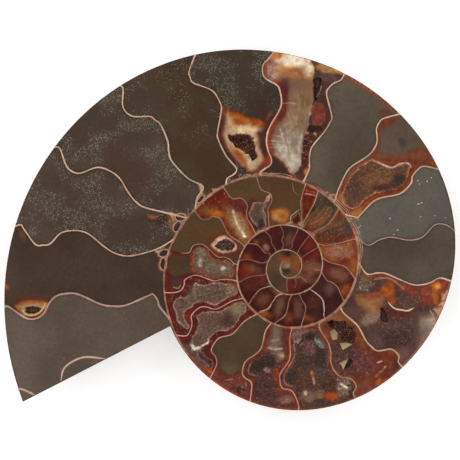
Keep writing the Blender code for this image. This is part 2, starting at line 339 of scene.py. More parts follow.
def noise(points, size, seed, octaves=3):
    """Smooth noise from -1 to 1 whose largest lumps are about size millimetres across."""
    total, weight, amount = np.zeros(len(points)), 0.0, 1.0
    for octave in range(octaves):
        q = points / size * 2**octave + 17.3 * octave
        cell = np.floor(q)
        f = q - cell
        f = f * f * (3 - 2 * f)
        ix, iy = cell.T
        corner = [lattice(ix + a, iy + b, seed + octave) for a, b in ((0, 0), (1, 0), (0, 1), (1, 1))]
        low = corner[0] + (corner[1] - corner[0]) * f[:, 0]
        high = corner[2] + (corner[3] - corner[2]) * f[:, 0]
        total += amount * ((low + (high - low) * f[:, 1]) * 2 - 1)
        weight += amount
        amount *= 0.55
    return total / weight * 1.4


def rgb(code):
    """sRGB values from 0 to 1 of a colour like #aabbcc."""
    return np.array([int(code[k:k + 2], 16) / 255 for k in (1, 3, 5)])


def linear(colour):
    colour = np.clip(colour, 0, 1)
    return np.where(colour <= 0.04045, colour / 12.92, ((colour + 0.055) / 1.055) ** 2.4)


def fade(value, start, end):
    """0 before start, 1 past end, smooth between; start may be the larger."""
    t = np.clip((value - start) / (end - start), 0, 1)
    return t * t * (3 - 2 * t)


# ----------------------------------------------------------------------------- painting the cut face


class FacePaint:
    """Colour, surface detail and depth of the cut face at a set of points, laid on in layers."""

    DETAILS = ("specks", "druse")

    def __init__(self, points, septa, chambers):
        self.points = points
        self.warped = points + WARP * np.stack((noise(points, 1.3, 901), noise(points, 1.3, 902)), -1)
        self.colour = np.tile(rgb("#4a3c32"), (len(points), 1))
        self.detail = {name: np.zeros(len(points)) for name in self.DETAILS}
        self.depth = np.zeros(len(points))
        self.where = {name: inside(outline, points) for name, outline in chambers.items()}
        walls = [curve for curve, _, _ in septa.values()]
        walls.append(wall_curve(TURN, SPIRAL_END, 0.2))
        self.to_wall = distance_to(walls, points)
        self.to_rim = distance_to([wall_curve(0, TURN, 0.2, rim_radius)], points)
        self.seed = 0

    def area(self, names):
        """Mask of one or more chambers, or of the whole face."""
        if names == "all":
            return np.ones(len(self.points), bool)
        return np.any([self.where[name] for name in names.split()], axis=0)

    def lay(self, weight, colour=None, **detail):
        """Blend a colour and details in by weight."""
        if colour is not None:
            self.colour += (rgb(colour) - self.colour) * weight[:, None]
        for name, value in detail.items():
            self.detail[name] += (value - self.detail[name]) * weight

    def ripple(self, size, some=slice(None)):
        """Fresh noise at all points, or at some of them."""
        self.seed += 1
        return noise(self.points[some], size, self.seed)

    def near(self, names, outline, margin):
        """Indices of the points of an area within a margin of an outline's box."""
        low, high = np.min(outline, axis=0) - margin, np.max(outline, axis=0) + margin
        close = np.all((self.points > low) & (self.points < high), axis=1)
        return np.nonzero(close & self.area(names))[0]

    def fill(self, names, colour, other=None, lump=9.0, **detail):
        """Fill chambers with a colour, clouded with a second one."""
        area = self.area(names)
        self.lay(area * 1.0, colour, **detail)
        if other:
            self.lay(area * fade(self.ripple(lump), -0.5, 0.7), other)

    def blend_layers(self, weight, away, layers):
        """Colours by distance: (millimetres, colour) in rising order."""
        steps = [step for step, _ in layers]
        colours = np.array([rgb(colour) for _, colour in layers])
        mixed = np.stack([np.interp(away, steps, colours[:, k]) for k in range(3)], -1)
        self.colour += (mixed - self.colour) * weight[:, None]

    def bands(self, names, layers, ripple=0.3, lump=3.0, strength=1.0, reach=None, **detail):
        """Layers that follow the chamber's walls; with reach they stop at that distance."""
        away = self.to_wall + ripple * self.ripple(lump)
        weight = self.area(names) * strength
        if reach:
            weight = weight * fade(away, reach, reach * 0.5)
        self.blend_layers(weight, away, layers)
        self.lay(weight, **detail)

    def rim(self, names, width, colour, soft=0.5, strength=1.0):
        """A band along the outer rim of the fossil."""
        away = self.to_rim + 0.3 * width * self.ripple(4.0)
        self.lay(strength * self.area(names) * fade(away, width + soft, width - soft), colour)

    def edge(self, names, width, colour, strength):
        """A tint that follows the chamber's walls."""
        self.lay(strength * self.area(names) * fade(self.to_wall, width, width * 0.4), colour)

    def spot(self, names, at, size, turn=0.0, soft=0.5, ripple=0.2, lump=2.5):
        """Weight of one blot: an ellipse of half-lengths size, turned in degrees, with a rippled edge."""
        some = self.near(names, [at], 1.7 * max(size))
        dx, dy = (self.warped[some] - np.array(at)).T
        c, s = math.cos(math.radians(turn)), math.sin(math.radians(turn))
        reach = np.hypot((dx * c + dy * s) / size[0], (dy * c - dx * s) / size[1])
        weight = np.zeros(len(self.points))
        weight[some] = fade(reach + ripple * self.ripple(lump, some), 1 + soft / 2, 1 - soft / 2)
        return weight

    def blot(self, names, at, size, colour=None, turn=0.0, soft=0.5, ripple=0.2, lump=2.5, strength=1.0,
             **detail):
        """One blot of colour and details; size holds its two half-lengths."""
        self.lay(strength * self.spot(names, at, size, turn, soft, ripple, lump), colour, **detail)

    def blots(self, names, *rows):
        """Blots by place, two half-lengths, turn, softness, colour and, where a row goes on, druse."""
        for x, y, along, across, turn, soft, colour, *druse in rows:
            detail = {"druse": druse[0]} if druse else {}
            self.blot(names, (x, y), (along, across), colour, turn, soft, **detail)

    def patch(self, names, outline, layers=None, soft=0.4, ripple=0.15, lump=1.5, strength=1.0, **detail):
        """A patch with a smooth outline, in one colour or in layers by distance inside its edge."""
        curve = smooth_curve((*outline, outline[0]), 0.15)
        some = self.near(names, curve, soft + ripple)
        away = distance_to([curve], self.warped[some])
        away *= np.where(inside(curve, self.warped[some]), 1, -1)
        away += ripple * self.ripple(lump, some)
        weight, depth = np.zeros(len(self.points)), np.zeros(len(self.points))
        weight[some] = strength * fade(away, -soft / 2, soft / 2)
        depth[some] = away
        if isinstance(layers, str):
            self.lay(weight, layers)
        elif layers:
            self.blend_layers(weight, depth, layers)
        self.lay(weight, **detail)
        return weight

    def line(self, names, points, width, colour, strength=1.0, soft=0.15, breaks=0.0):
        """A thin line, broken up by noise where breaks is above 0."""
        curve = smooth_curve(points, 0.1)
        some = self.near(names, curve, width + soft)
        away = distance_to([curve], self.points[some])
        weight = np.zeros(len(self.points))
        weight[some] = strength * fade(away, width / 2 + soft, width / 2 - soft)
        weight[some] *= 1 - breaks * fade(self.ripple(1.2, some), -0.2, 0.3)
        self.lay(weight, colour)

    def hollow(self, names, outline, depth, colour, edge_colour, edge=0.8, ripple=0.35, lump=0.9):
        """An open crystal hollow: a pale jagged edge round a dark sunken floor."""
        self.patch(names, outline, edge_colour, soft=2 * edge, ripple=0.3, lump=1.2, druse=0.3)
        weight = self.patch(names, outline, ((0, colour), (1.8, "#50322a")), soft=0.25, ripple=ripple,
                            lump=lump, druse=0.3)
        self.depth = np.maximum(self.depth, depth * weight * (0.85 + 0.2 * self.ripple(0.8)))

    def finish(self):
        """Mottle the crystal chambers, cluster the specks, and leave room for the polish's own sheen."""
        crystal = ~self.area(" ".join(PLAIN_CHAMBERS)) * 1.0
        fine = noise(self.points, 1.1, 911, 4)
        warm = noise(self.points, 3.0, 912, 3)
        red, green = self.colour[:, 0], self.colour[:, 1]
        lively = crystal * np.maximum(fade(1 - green / (red + 1e-6), 0.28, 0.45), fade(red, 0.5, 0.62))
        self.colour *= np.clip(1 + lively * (0.14 * fine + 0.07 * warm) - 0.07 * crystal, 0.4, 1.6)[:, None]
        warmth = crystal * (1 - fade(red, 0.6, 0.85))
        self.colour *= 1 - warmth[:, None] * np.array(WARMTH)
        self.detail["specks"] *= fade(noise(self.points, 5.0, 913, 3), -0.55, 0.55)
        self.depth = np.maximum(self.depth, 0)

    def rays(self, names, at, size, focus, colour, count=26.0, strength=0.5, turn=0.0):
        """Fibrous crystals that fan out from a focus, inside a blot."""
        dx, dy = (self.points - np.array(focus)).T
        around = np.stack((np.arctan2(dy, dx) * count, np.hypot(dx, dy) * 0.18), -1)
        shine = fade(noise(around, 1.0, 40, 2), -0.1, 0.7)
        self.lay(strength * shine * self.spot(names, at, size, turn, 0.6, 0.15), colour)

    def crystals(self, names, colour, count, seed, size=0.35, where=None, strength=0.8):
        """Small scattered bright or dark grains, inside a box of (x, y) corners if given."""
        random = np.random.default_rng(seed)
        some = np.nonzero(self.area(names))[0]
        if where:
            low, high = np.min(where, axis=0), np.max(where, axis=0)
            some = some[np.all((self.points[some] > low) & (self.points[some] < high), axis=1)]
        for index in (random.choice(some, count) if len(some) else ()):
            reach = size * random.uniform(0.5, 1.2)
            turn = random.uniform(0, 180)
            self.blot(names, self.points[index], (reach, reach * 0.6), colour, turn, 0.6, 0.3, 0.6, strength)


def paint_mudstone(face):
    """Chambers filled with fine dark mudstone, with pale specks."""
    face.fill("c0", "#5a4e43", "#53473c", specks=0.2)
    face.blots("c0",
               (-69.5, -44.0, 5.1, 17.7, -8, 1.6, "#615549"), (-25.3, -28.9, 8.0, 6.3, 0, 1.2, "#544639"),
               (-48.4, -46.6, 5.9, 3.4, -30, 1.15, "#52463b"))
    face.fill("c1", "#443429", "#3d2f25", specks=0.12)
    face.blot("c1", (-53.9, -14.1), (13.5, 4.6), "#43352a", soft=1.3)
    face.blot("c1", (-72.9, -12.9), (2.5, 8.0), "#4e4238", soft=1.8, strength=0.5)
    face.fill("c2", "#4c3f32", "#43362b", specks=0.7)
    face.blot("c2", (-33.5, 0.2), (8.6, 4.6), "#45352a", soft=1.0, specks=0.1)
    face.fill("c3", "#4b3e32", "#44372c", specks=0.78)
    face.blot("c3", (-33.5, 18.8), (11.2, 5.9), "#473529", turn=-62, soft=1.0, specks=0.12)
    face.fill("c4", "#463629", "#412f22", specks=0.4)
    face.blot("c4", (-26.3, 38.6), (9.9, 5.9), "#45372b", turn=-50, soft=1.0, specks=0.6)
    face.blot("c4", (-5.8, 21.1), (9.9, 5.3), "#422e1f", turn=-60, soft=1.0, specks=0.05)
    face.fill("c5", "#473d31", "#41362b", specks=0.7)
    face.blot("c5", (-1.5, 47.5), (7.9, 6.6), "#443c30", soft=1.0, specks=0.75)
    face.blot("c5", (10.7, 39.9), (6.6, 4.0), "#40342a", soft=1.45, specks=0.15)
    face.fill("c7", "#564b3f", "#5c5244", specks=0.0)
    face.blot("c7", (41.5, 21.1), (8.6, 15.2), "#4d4135", turn=-10, soft=1.2)
    face.fill("c8", "#635648", "#5d5042", specks=0.0)
    face.fill("c9", "#57514a", "#5f574d", specks=0.09)
    face.fill("c10", "#4f443b", "#574b41", specks=0.03)
    face.blot("c10", (56.3, -5.4), (9.9, 4.6), "#493e34", soft=1.2)
    face.edge("c1 c2 c3 c4 c5", 0.9, "#2e2017", 0.55)
    face.edge("c0 c7 c8 c9 c10", 0.9, "#3c2e24", 0.5)


def paint_lens(face):
    """The small calcite lens on the first septum, and the rust at the rim."""
    lens = ((-72.0, -24.9), (-68.2, -23.4), (-64.0, -23.0), (-60.0, -24.0), (-60.4, -27.0), (-62.8, -28.9),
            (-66.6, -29.3), (-69.5, -27.6))
    face.blot("c1", (-66.1, -23.0), (5.9, 1.2), "#5e2c1a", soft=1.2, strength=0.9)
    face.patch("c1 c0", lens, ((0, "#7a3418"), (0.7, "#8c5a30"), (1.8, "#a48056")), soft=0.5)
    face.line("c1", ((-68.7, -26.5), (-67.8, -27.8), (-65.7, -28.2), (-63.6, -27.6), (-61.9, -25.9),
                     (-61.3, -24.4)), 0.35, "#d8b48c")
    face.line("c1", ((-71.2, -26.1), (-68.7, -28.4), (-66.1, -29.0), (-63.2, -28.2), (-61.1, -26.1)), 0.5,
              "#5a2414")
    vug = ((-68.2, -25.9), (-66.6, -25.3), (-64.4, -25.5), (-62.8, -25.9), (-63.6, -27.0), (-65.7, -27.6),
           (-67.6, -27.2))
    face.hollow("c1", vug, 1.6, "#3c2a1e", "#c09a6c", edge=0.35)
    face.blot("c1", (-73.9, -18.8), (0.84, 0.84), "#a04a20", soft=1.45)
    face.blot("c2 c1", (-68.9, -1.4), (2.0, 0.83), "#7a4226", turn=-60, soft=1.45, strength=0.6)
    face.blots("c2",
               (-23.0, 3.6, 3.6, 1.7, -15, 1.45, "#3c241a"), (-25.6, 4.4, 1.5, 0.66, -15, 1.45, "#8a5030"))
    face.blot("c1 c2", (-19.8, 2.4), (0.53, 2.1), "#8a4a26", turn=12, soft=1.15, strength=0.9)


def paint_fifth(face):
    """The lower half of the fifth chamber: banded calcite round an open vug."""
    body = ((-2.7, 41.7), (0.5, 39.6), (3.7, 39.0), (6.6, 37.6), (8.7, 36.4), (11.9, 36.0), (15.9, 37.8),
            (16.6, 28.5), (15.2, 22.0), (10.9, 17.4), (6.6, 18.1), (3.7, 20.4), (-0.6, 23.1), (-4.9, 30.3),
            (-4.9, 35.6))
    face.patch("c5", body, ((0, "#4a2218"), (0.5, "#7a3214"), (1.3, "#a05a20"), (2.4, "#c09468"),
                            (4, "#c4a07c")), soft=0.9, ripple=0.35, lump=3.0, specks=0.0)
    edge = ((0, "#4a221a"), (0.9, "#54281f"), (1.7, "#6e463c"), (2.4, "#a98670"), (3.2, "#c8a888"))
    away = face.to_wall + 0.25 * face.ripple(2.5)
    inner = face.spot("c5", (5.1, 29.9), (11.8, 11.8), soft=0.4, ripple=0.05)
    face.blend_layers(inner * fade(away, 3.2, 1.6), away, edge)
    face.blots("c5",
               (11.2, 32.1, 2.1, 9.3, 6, 0.9, "#4c2a24"), (12.7, 22.7, 1.6, 2.5, -20, 1.45, "#8a3a20"),
               (3.2, 36.0, 2.1, 1.8, 0, 1.45, "#a8561c"), (9.4, 35.5, 2.1, 1.1, -25, 1.45, "#a8561c"),
               (5.5, 33.3, 3.9, 1.3, 0, 1.15, "#d8b88e"), (3.0, 24.5, 1.1, 3.2, 40, 1.45, "#9a5426"),
               (7.3, 22.0, 1.4, 1.8, 0, 1.15, "#d0b094"))
    vug = ((-0.2, 31.5), (1.6, 31.4), (3.3, 32.1), (5.5, 31.5), (8.0, 30.3), (7.5, 29.2), (8.4, 26.3),
           (8.4, 24.2), (7.5, 23.1), (6.6, 24.2), (5.1, 25.2), (3.7, 26.3), (2.3, 27.4), (0.8, 28.8),
           (-0.1, 30.6))
    face.hollow("c5", vug, 3.2, "#74493a", "#d6bc9c", edge=0.45, ripple=0.5, lump=1.0)
    face.blot("c5", (3.2, 19.5), (2.1, 1.6), "#42332a", turn=-20, soft=0.5)


def paint_sixth(face):
    """The sixth chamber: pale calcite with fine fibres, and a rusty strip with small nodules."""
    face.fill("c6", "#8a6c54", "#7c5e49", lump=5.0)
    face.blots("c6",
               (21.6, 48.5, 5.4, 2.1, 0, 1.45, "#80604e"), (22.7, 39.2, 4.7, 6.8, 0, 1.0, "#93765b"),
               (24.5, 42.8, 2.1, 2.1, 0, 1.0, "#7a5c3c"), (19.5, 26.3, 5.4, 7.5, 0, 0.9, "#a3937d"))
    face.bands("c6", ((0, "#8a3a1e"), (0.7, "#8c3f24"), (1.4, "#7a3d2e"), (2.4, "#8a6450")), reach=2.4)
    face.blots("c6",
               (17.9, 45.7, 1.4, 5.4, -5, 1.45, "#5f2b26"), (17.3, 38.9, 1.4, 3.9, -20, 1.45, "#6a2c20"),
               (14.1, 52.7, 2.0, 3.0, 0, 1.45, "#a07a70"))
    face.rays("c6", (14.1, 52.7), (2.1, 3.2), (13.4, 48.9), "#d8c4b8", count=8, strength=0.6)
    face.blots("c6",
               (19.5, 53.9, 3.9, 2.5, 0, 1.45, "#dcae78"), (22.3, 51.9, 6.1, 2.1, -6, 1.45, "#ac7444"),
               (20.9, 56.6, 6.1, 2.1, -8, 1.15, "#fbe7cc"), (25.9, 54.3, 2.1, 3.6, 10, 1.15, "#f0d4b0"),
               (15.5, 58.0, 2.1, 1.4, 10, 1.45, "#c8763a"))
    face.rays("c6", (20.5, 27.8), (5.4, 8.2), (21.6, 17.0), "#cfc6b4", count=16, strength=0.75)
    face.rays("c6", (17.0, 29.2), (3.9, 2.9), (37.4, 27.4), "#cfc6b4", count=60, strength=0.6)
    face.blot("c6", (21.1, 22.7), (1.8, 3.2), "#b8ac98", soft=1.45)
    face.rays("c6", (22.7, 37.8), (4.7, 7.2), (22.7, 21.3), "#b59a78", count=30, strength=0.45)
    face.line("c6", ((26.3, 38.9), (26.6, 37.1), (25.9, 33.8)), 0.35, "#d8c6b0", 0.8)
    face.line("c6", ((17.3, 41.8), (19.5, 42.1), (21.6, 41.9)), 0.25, "#c8a89a", 0.8)
    mud = ((13.4, 26.3), (15.2, 24.5), (18.0, 22.0), (20.2, 17.7), (15.9, 15.6), (8.7, 16.7), (11.2, 20.2))
    face.patch("c6", mud, ((0, "#8a4a20"), (0.5, "#5c3520"), (0.9, "#3e3024")), soft=0.5)
    strip = ((26.3, 56.8), (28.1, 53.5), (27.6, 50.0), (27.4, 43.5), (26.8, 39.2), (25.9, 33.8), (24.5, 30.3),
             (23.8, 24.9), (23.4, 20.9), (21.6, 18.1), (26.6, 15.6), (31.3, 28.5), (36.7, 39.2), (41.7, 50.0),
             (37.4, 58.6), (30.2, 58.6))
    face.patch("c6", strip, "#523029", soft=0.3, ripple=0.25, druse=0.6)
    face.blots("c6",
               (31.3, 53.9, 3.4, 1.8, -28, 0.9, "#b98a58", 0.0), (28.4, 55.7, 1.4, 1.3, 0, 0.9, "#6a3a28"),
               (35.2, 53.0, 2.5, 0.79, -32, 0.9, "#d08a40", 0.0),
               (32.7, 50.3, 3.9, 1.4, -6, 0.9, "#5e4440"))
    face.hollow("c6", ((28.2, 50.3), (29.9, 50.3), (29.9, 47.5), (29.1, 43.9), (28.1, 43.5), (28.1, 47.1)),
                1.2, "#33201c", "#5a3a34", edge=0.2, ripple=0.2)
    face.line("c6", ((30.2, 47.8), (29.9, 46.4), (28.9, 44.2)), 0.35, "#b8a096", 0.9)
    face.blot("c6", (29.3, 38.5), (2.3, 3.9), "#9a5a48", soft=0.25, ripple=0.1)
    face.blot("c6", (29.3, 38.5), (2.1, 3.7), "#78382a", soft=0.3, ripple=0.1, druse=0.35)
    face.blots("c6",
               (27.0, 33.5, 1.4, 1.3, 0, 0.5, "#2a1712"), (29.3, 33.5, 1.4, 1.1, 0, 0.5, "#32201a"),
               (25.4, 32.1, 0.79, 0.5, 0, 0.6, "#c09a5c"), (28.2, 31.9, 0.57, 0.43, 0, 0.6, "#c8a060"),
               (25.4, 26.3, 1.3, 5.4, -4, 1.15, "#4c221c", 0.8))
    face.crystals("c6", "#c09888", 26, 61, 0.28, ((23.8, 31.3), (28.8, 18.4)), 0.6)
    face.blots("c6",
               (25.4, 19.3, 0.93, 1.4, -15, 0.9, "#c0682a"), (23.4, 19.5, 0.72, 1.4, 0, 0.6, "#42302a"))


def paint_right(face):
    """Chambers seven to nine: rust along the rim, and the brown druse of the eighth."""
    face.line("c7", ((37.4, 51.8), (41.2, 49.4), (45.8, 46.7), (50.1, 43.5), (53.4, 40.6), (56.0, 38.5)),
              1.3, "#8a4020", 0.9, 0.5)
    face.line("c7", ((37.4, 52.4), (41.6, 49.6), (46.3, 46.9), (50.9, 43.5)), 0.59, "#c06a3a", 0.9, 0.3)
    face.blot("c7", (51.3, 38.9), (2.1, 1.2), "#63362c", soft=1.45)
    face.crystals("c7", "#40342a", 30, 71, 0.4, ((33.2, 49.4), (36.6, 38.1)), 0.6)
    red = ((56.4, 38.1), (51.7, 37.6), (48.8, 35.5), (48.4, 30.5), (47.1, 26.7), (45.8, 23.7), (50.9, 22.0),
           (60.2, 20.4), (69.4, 20.4), (66.9, 26.3), (64.4, 27.5), (58.9, 26.3), (56.0, 24.6), (51.3, 24.8),
           (49.4, 26.7), (50.3, 30.5), (50.7, 33.0), (54.3, 34.7))
    face.patch("c8", red, ((0, "#6a4a38"), (0.7, "#6e402c"), (1.6, "#723a26")), soft=1.15, ripple=0.3)
    face.blot("c8", (53.4, 24.4), (5.5, 0.93), "#7a4c30", soft=1.0, strength=0.8)
    face.blots("c8",
               (62.3, 24.8, 2.5, 1.7, 0, 1.0, "#784830"), (66.9, 22.9, 1.3, 1.7, 0, 1.15, "#824628"))
    face.blot("c8", (57.0, 29.0), (1.1, 1.5), "#45423f", turn=30, soft=1.15, ripple=0.1)
    druse = ((47.1, 23.1), (51.3, 21.4), (53.4, 20.7), (58.5, 22.0), (59.5, 20.8), (58.9, 17.8),
             (57.6, 15.3), (55.1, 13.6), (51.7, 13.0), (48.0, 12.1), (45.4, 10.5), (42.5, 7.7), (40.4, 7.1),
             (38.3, 8.1), (37.3, 11.1), (38.1, 14.5), (39.9, 17.8), (42.9, 20.8), (45.4, 22.5))
    low = ((45.8, 23.3), (42.5, 21.6), (38.7, 17.8), (35.7, 11.5), (36.6, 8.6), (41.6, 4.6), (45.8, 8.6),
           (50.9, 11.1), (56.8, 12.3), (60.2, 17.0), (61.9, 20.4), (59.3, 22.0))
    face.patch("c8", low, ((0, "#9a4a26"), (1.0, "#823c20"), (2.0, "#6a2e18")), soft=0.6)
    face.blots("c8",
               (37.0, 9.8, 1.3, 3.4, -20, 1.15, "#b06c34"), (41.8, 5.8, 2.5, 1.2, 20, 1.15, "#b06c34"))
    face.patch("c8", druse, ((0, "#c8a080"), (0.35, "#8a5c44"), (0.8, "#6a4430"), (3.0, "#66442f")),
               soft=0.25, druse=1.0)
    face.blot("c8", (48.8, 16.6), (5.1, 2.9), "#7a5638", turn=20, soft=1.0, strength=0.8)
    face.blots("c8",
               (55.8, 16.4, 2.1, 1.9, 0, 1.45, "#3f2c28"), (50.9, 14.2, 3.8, 1.1, 0, 1.45, "#4c3228"),
               (41.2, 14.0, 2.5, 3.8, 0, 1.45, "#5c4032"))
    face.crystals("c8", "#3a2620", 70, 81, 0.32, ((37.8, 22.0), (58.9, 8.6)), 0.6)
    face.crystals("c8", "#a07a54", 50, 82, 0.28, ((37.8, 22.0), (58.9, 8.6)), 0.5)
    face.line("c8", ((47.0, 23.4), (49.2, 22.3), (51.3, 21.4), (53.6, 20.7), (56.0, 21.8), (58.1, 22.2),
                     (59.4, 21.8), (59.9, 20.8)), 0.45, "#dcc4b4", breaks=0.5)
    face.blot("c9", (42.3, 0.5), (1.1, 4.6), "#5c5b54", turn=18, soft=1.45, druse=0.5)
    face.crystals("c9", "#b8b4a8", 14, 91, 0.3, ((40.4, 4.3), (45.4, -4.9)), 0.6)


def paint_lower_right(face):
    """The broken-up eleventh chamber, and the thirteenth with its vug."""
    face.fill("c11", "#4f332e", "#5a3f38", lump=4.0, druse=0.5)
    red = ((43.3, -13.8), (52.1, -14.3), (56.8, -16.8), (62.2, -18.5), (66.9, -15.8), (73.7, -15.8),
           (72.3, -21.5), (67.6, -25.9), (63.5, -23.2), (57.5, -21.2), (54.1, -18.1), (49.4, -16.5),
           (44.3, -16.8))
    face.patch("c11", red, ((0, "#5c3a30"), (1.0, "#7a3a2a"), (2.4, "#8c4232")), soft=1.15, ripple=0.3)
    face.line("c11", ((48.0, -16.3), (50.7, -15.9), (53.4, -16.3), (55.5, -17.8), (57.5, -19.5)), 0.5,
              "#a88678", 0.8)
    face.blots("c11",
               (44.0, -16.0, 2.4, 1.2, 0, 1.45, "#7a5c3e"),
               (45.0, -18.7, 2.7, 1.5, 0, 1.15, "#6a5e50", 1.0))
    face.crystals("c11", "#b8b0a8", 16, 111, 0.35, ((42.0, -16.8), (48.4, -20.5)), 0.6)
    face.blots("c11",
               (52.4, -20.0, 2.1, 2.5, -20, 0.9, "#a0521e", 0.0),
               (53.4, -23.2, 1.5, 1.2, 0, 1.15, "#9c4a20"), (47.7, -19.5, 1.7, 1.0, 0, 1.15, "#5a3434"))
    ochre = ((40.8, -21.5), (43.3, -20.8), (46.7, -21.5), (49.4, -20.2), (51.2, -21.5), (51.1, -23.9),
             (50.1, -25.9), (49.7, -28.6), (48.0, -30.6), (44.3, -27.9), (42.0, -25.2))
    face.patch("c11", ochre, ((0, "#744430"), (1.0, "#8c5c3c"), (3.0, "#9c6e4a")), soft=0.9, druse=0.1)
    face.blots("c11",
               (47.7, -21.5, 3.7, 0.88, 8, 1.15, "#8e4a2a"),
               (46.7, -29.3, 3.7, 2.0, 20, 1.15, "#8c7060", 0.5),
               (41.6, -27.2, 3.0, 2.0, 0, 1.45, "#5e4038"))
    face.hollow("c11", ((50.2, -25.9), (51.4, -26.9), (52.1, -29.3), (51.6, -30.3), (50.2, -29.6),
                        (50.0, -27.6)), 1.0, "#2e1a16", "#4a2c26", edge=0.3)
    face.blots("c11",
               (56.1, -27.9, 4.4, 1.5, -5, 1.15, "#62302a", 0.2),
               (59.2, -23.2, 3.7, 1.5, 0, 1.45, "#5e3e38", 0.8),
               (64.6, -22.9, 2.0, 1.7, 0, 1.15, "#7e3828"),
               (67.9, -20.5, 0.88, 3.7, 5, 0.9, "#b0641e", 0.0), (68.9, -18.5, 1.0, 1.0, 0, 0.9, "#d08a3c"))
    shell = ((70.0, -21.2), (71.3, -19.8), (73.2, -19.5), (73.3, -21.2), (71.3, -25.9), (69.8, -28.9),
             (67.9, -27.2), (67.3, -25.9), (69.3, -23.9))
    face.patch("c11 c10", shell, ((0, "#7a4a38"), (0.5, "#c08a66"), (1.6, "#cf9f7e")), soft=0.3, ripple=0.4,
               lump=1.2)
    face.line("c11", ((69.3, -23.9), (71.0, -23.2), (72.0, -21.9)), 0.35, "#5a3428", breaks=0.4)
    face.line("c11", ((68.3, -25.9), (70.0, -25.2), (70.6, -27.2)), 0.3, "#5a3428", breaks=0.4)
    face.blots("c11",
               (64.6, -32.6, 3.7, 5.1, -40, 1.15, "#7e6b5e", 0.1),
               (66.2, -30.3, 2.7, 1.7, 10, 1.45, "#a4927f", 0.0),
               (54.8, -35.7, 6.7, 3.7, 10, 1.45, "#4c322a", 0.5),
               (52.1, -32.0, 4.4, 1.7, 0, 1.45, "#5a4238", 0.9),
               (48.0, -35.7, 2.0, 4.0, 30, 1.45, "#5e4640"), (61.2, -30.3, 1.3, 4.0, 0, 1.45, "#5c4034"),
               (56.8, -41.1, 3.0, 2.0, 30, 1.45, "#73524c", 0.0))
    face.crystals("c11", "#a08e84", 90, 112, 0.22, ((49.4, -28.9), (60.2, -37.4)), 0.5)
    face.crystals("c11", "#b09a90", 30, 113, 0.26, ((54.8, -21.2), (65.6, -25.9)), 0.55)
    face.crystals("c11", "#2c1a18", 40, 114, 0.32, ((52.1, -30.6), (60.2, -39.0)), 0.5)
    face.rim("c11", 0.54, "#b8886c", strength=0.8)
    face.blot("c11", (66.2, -34.7), (1.7, 4.7), "#9a8270", turn=-35, soft=1.45, strength=0.7)

    face.fill("c13", "#783a24", "#6e3426", lump=4.0)
    face.bands("c13", ((0, "#8a5434"), (0.8, "#7c4426"), (2.0, "#6a3520")), reach=2.4)
    face.blots("c13",
               (35.2, -29.3, 3.7, 1.7, -15, 1.45, "#8a5c38"), (43.7, -36.7, 2.0, 4.0, 20, 1.45, "#7a4428"),
               (37.9, -42.1, 6.4, 5.1, -20, 0.9, "#553732", 1.0),
               (44.3, -44.8, 3.7, 3.0, 0, 1.45, "#683a34", 0.8),
               (50.1, -41.4, 4.0, 1.7, -20, 1.45, "#6e3422"), (52.1, -42.4, 2.0, 1.7, 0, 1.45, "#7a3a20"),
               (55.1, -44.4, 1.0, 2.0, -20, 1.15, "#503028"), (49.1, -50.5, 1.3, 0.81, 25, 1.45, "#a85c28"),
               (44.3, -51.9, 3.0, 1.7, 20, 1.0, "#7a4434"))
    face.crystals("c13", "#a8827a", 130, 131, 0.22, ((35.2, -39.4), (48.0, -48.8)), 0.5)
    face.crystals("c13", "#2c1a18", 50, 132, 0.32, ((35.2, -38.7), (42.0, -46.8)), 0.5)
    vug = ((32.2, -30.6), (33.9, -30.3), (35.9, -30.3), (37.9, -30.6), (39.6, -32.0), (41.1, -34.3),
           (41.3, -36.7), (39.9, -37.2), (38.3, -36.4), (36.6, -35.7), (35.6, -34.0), (34.2, -32.6),
           (32.9, -32.1))
    face.hollow("c13", vug, 3.0, "#6a483c", "#7a5338", edge=0.3, ripple=0.45, lump=1.3)
    face.hollow("c13", ((37.4, -45.1), (39.3, -42.8), (40.5, -43.4), (39.3, -45.1), (37.9, -46.1)), 1.2,
                "#3c2822", "#5c4034", edge=0.2)
    face.line("c13", ((48.8, -43.9), (50.2, -43.4)), 0.4, "#e4c4b4")
    face.line("c13", ((48.2, -48.8), (49.4, -47.3), (50.4, -46.5), (51.6, -45.1)), 0.4, "#dcb89c", breaks=0.7)
    face.rim("c13", 0.47, "#a06a50", strength=0.7)


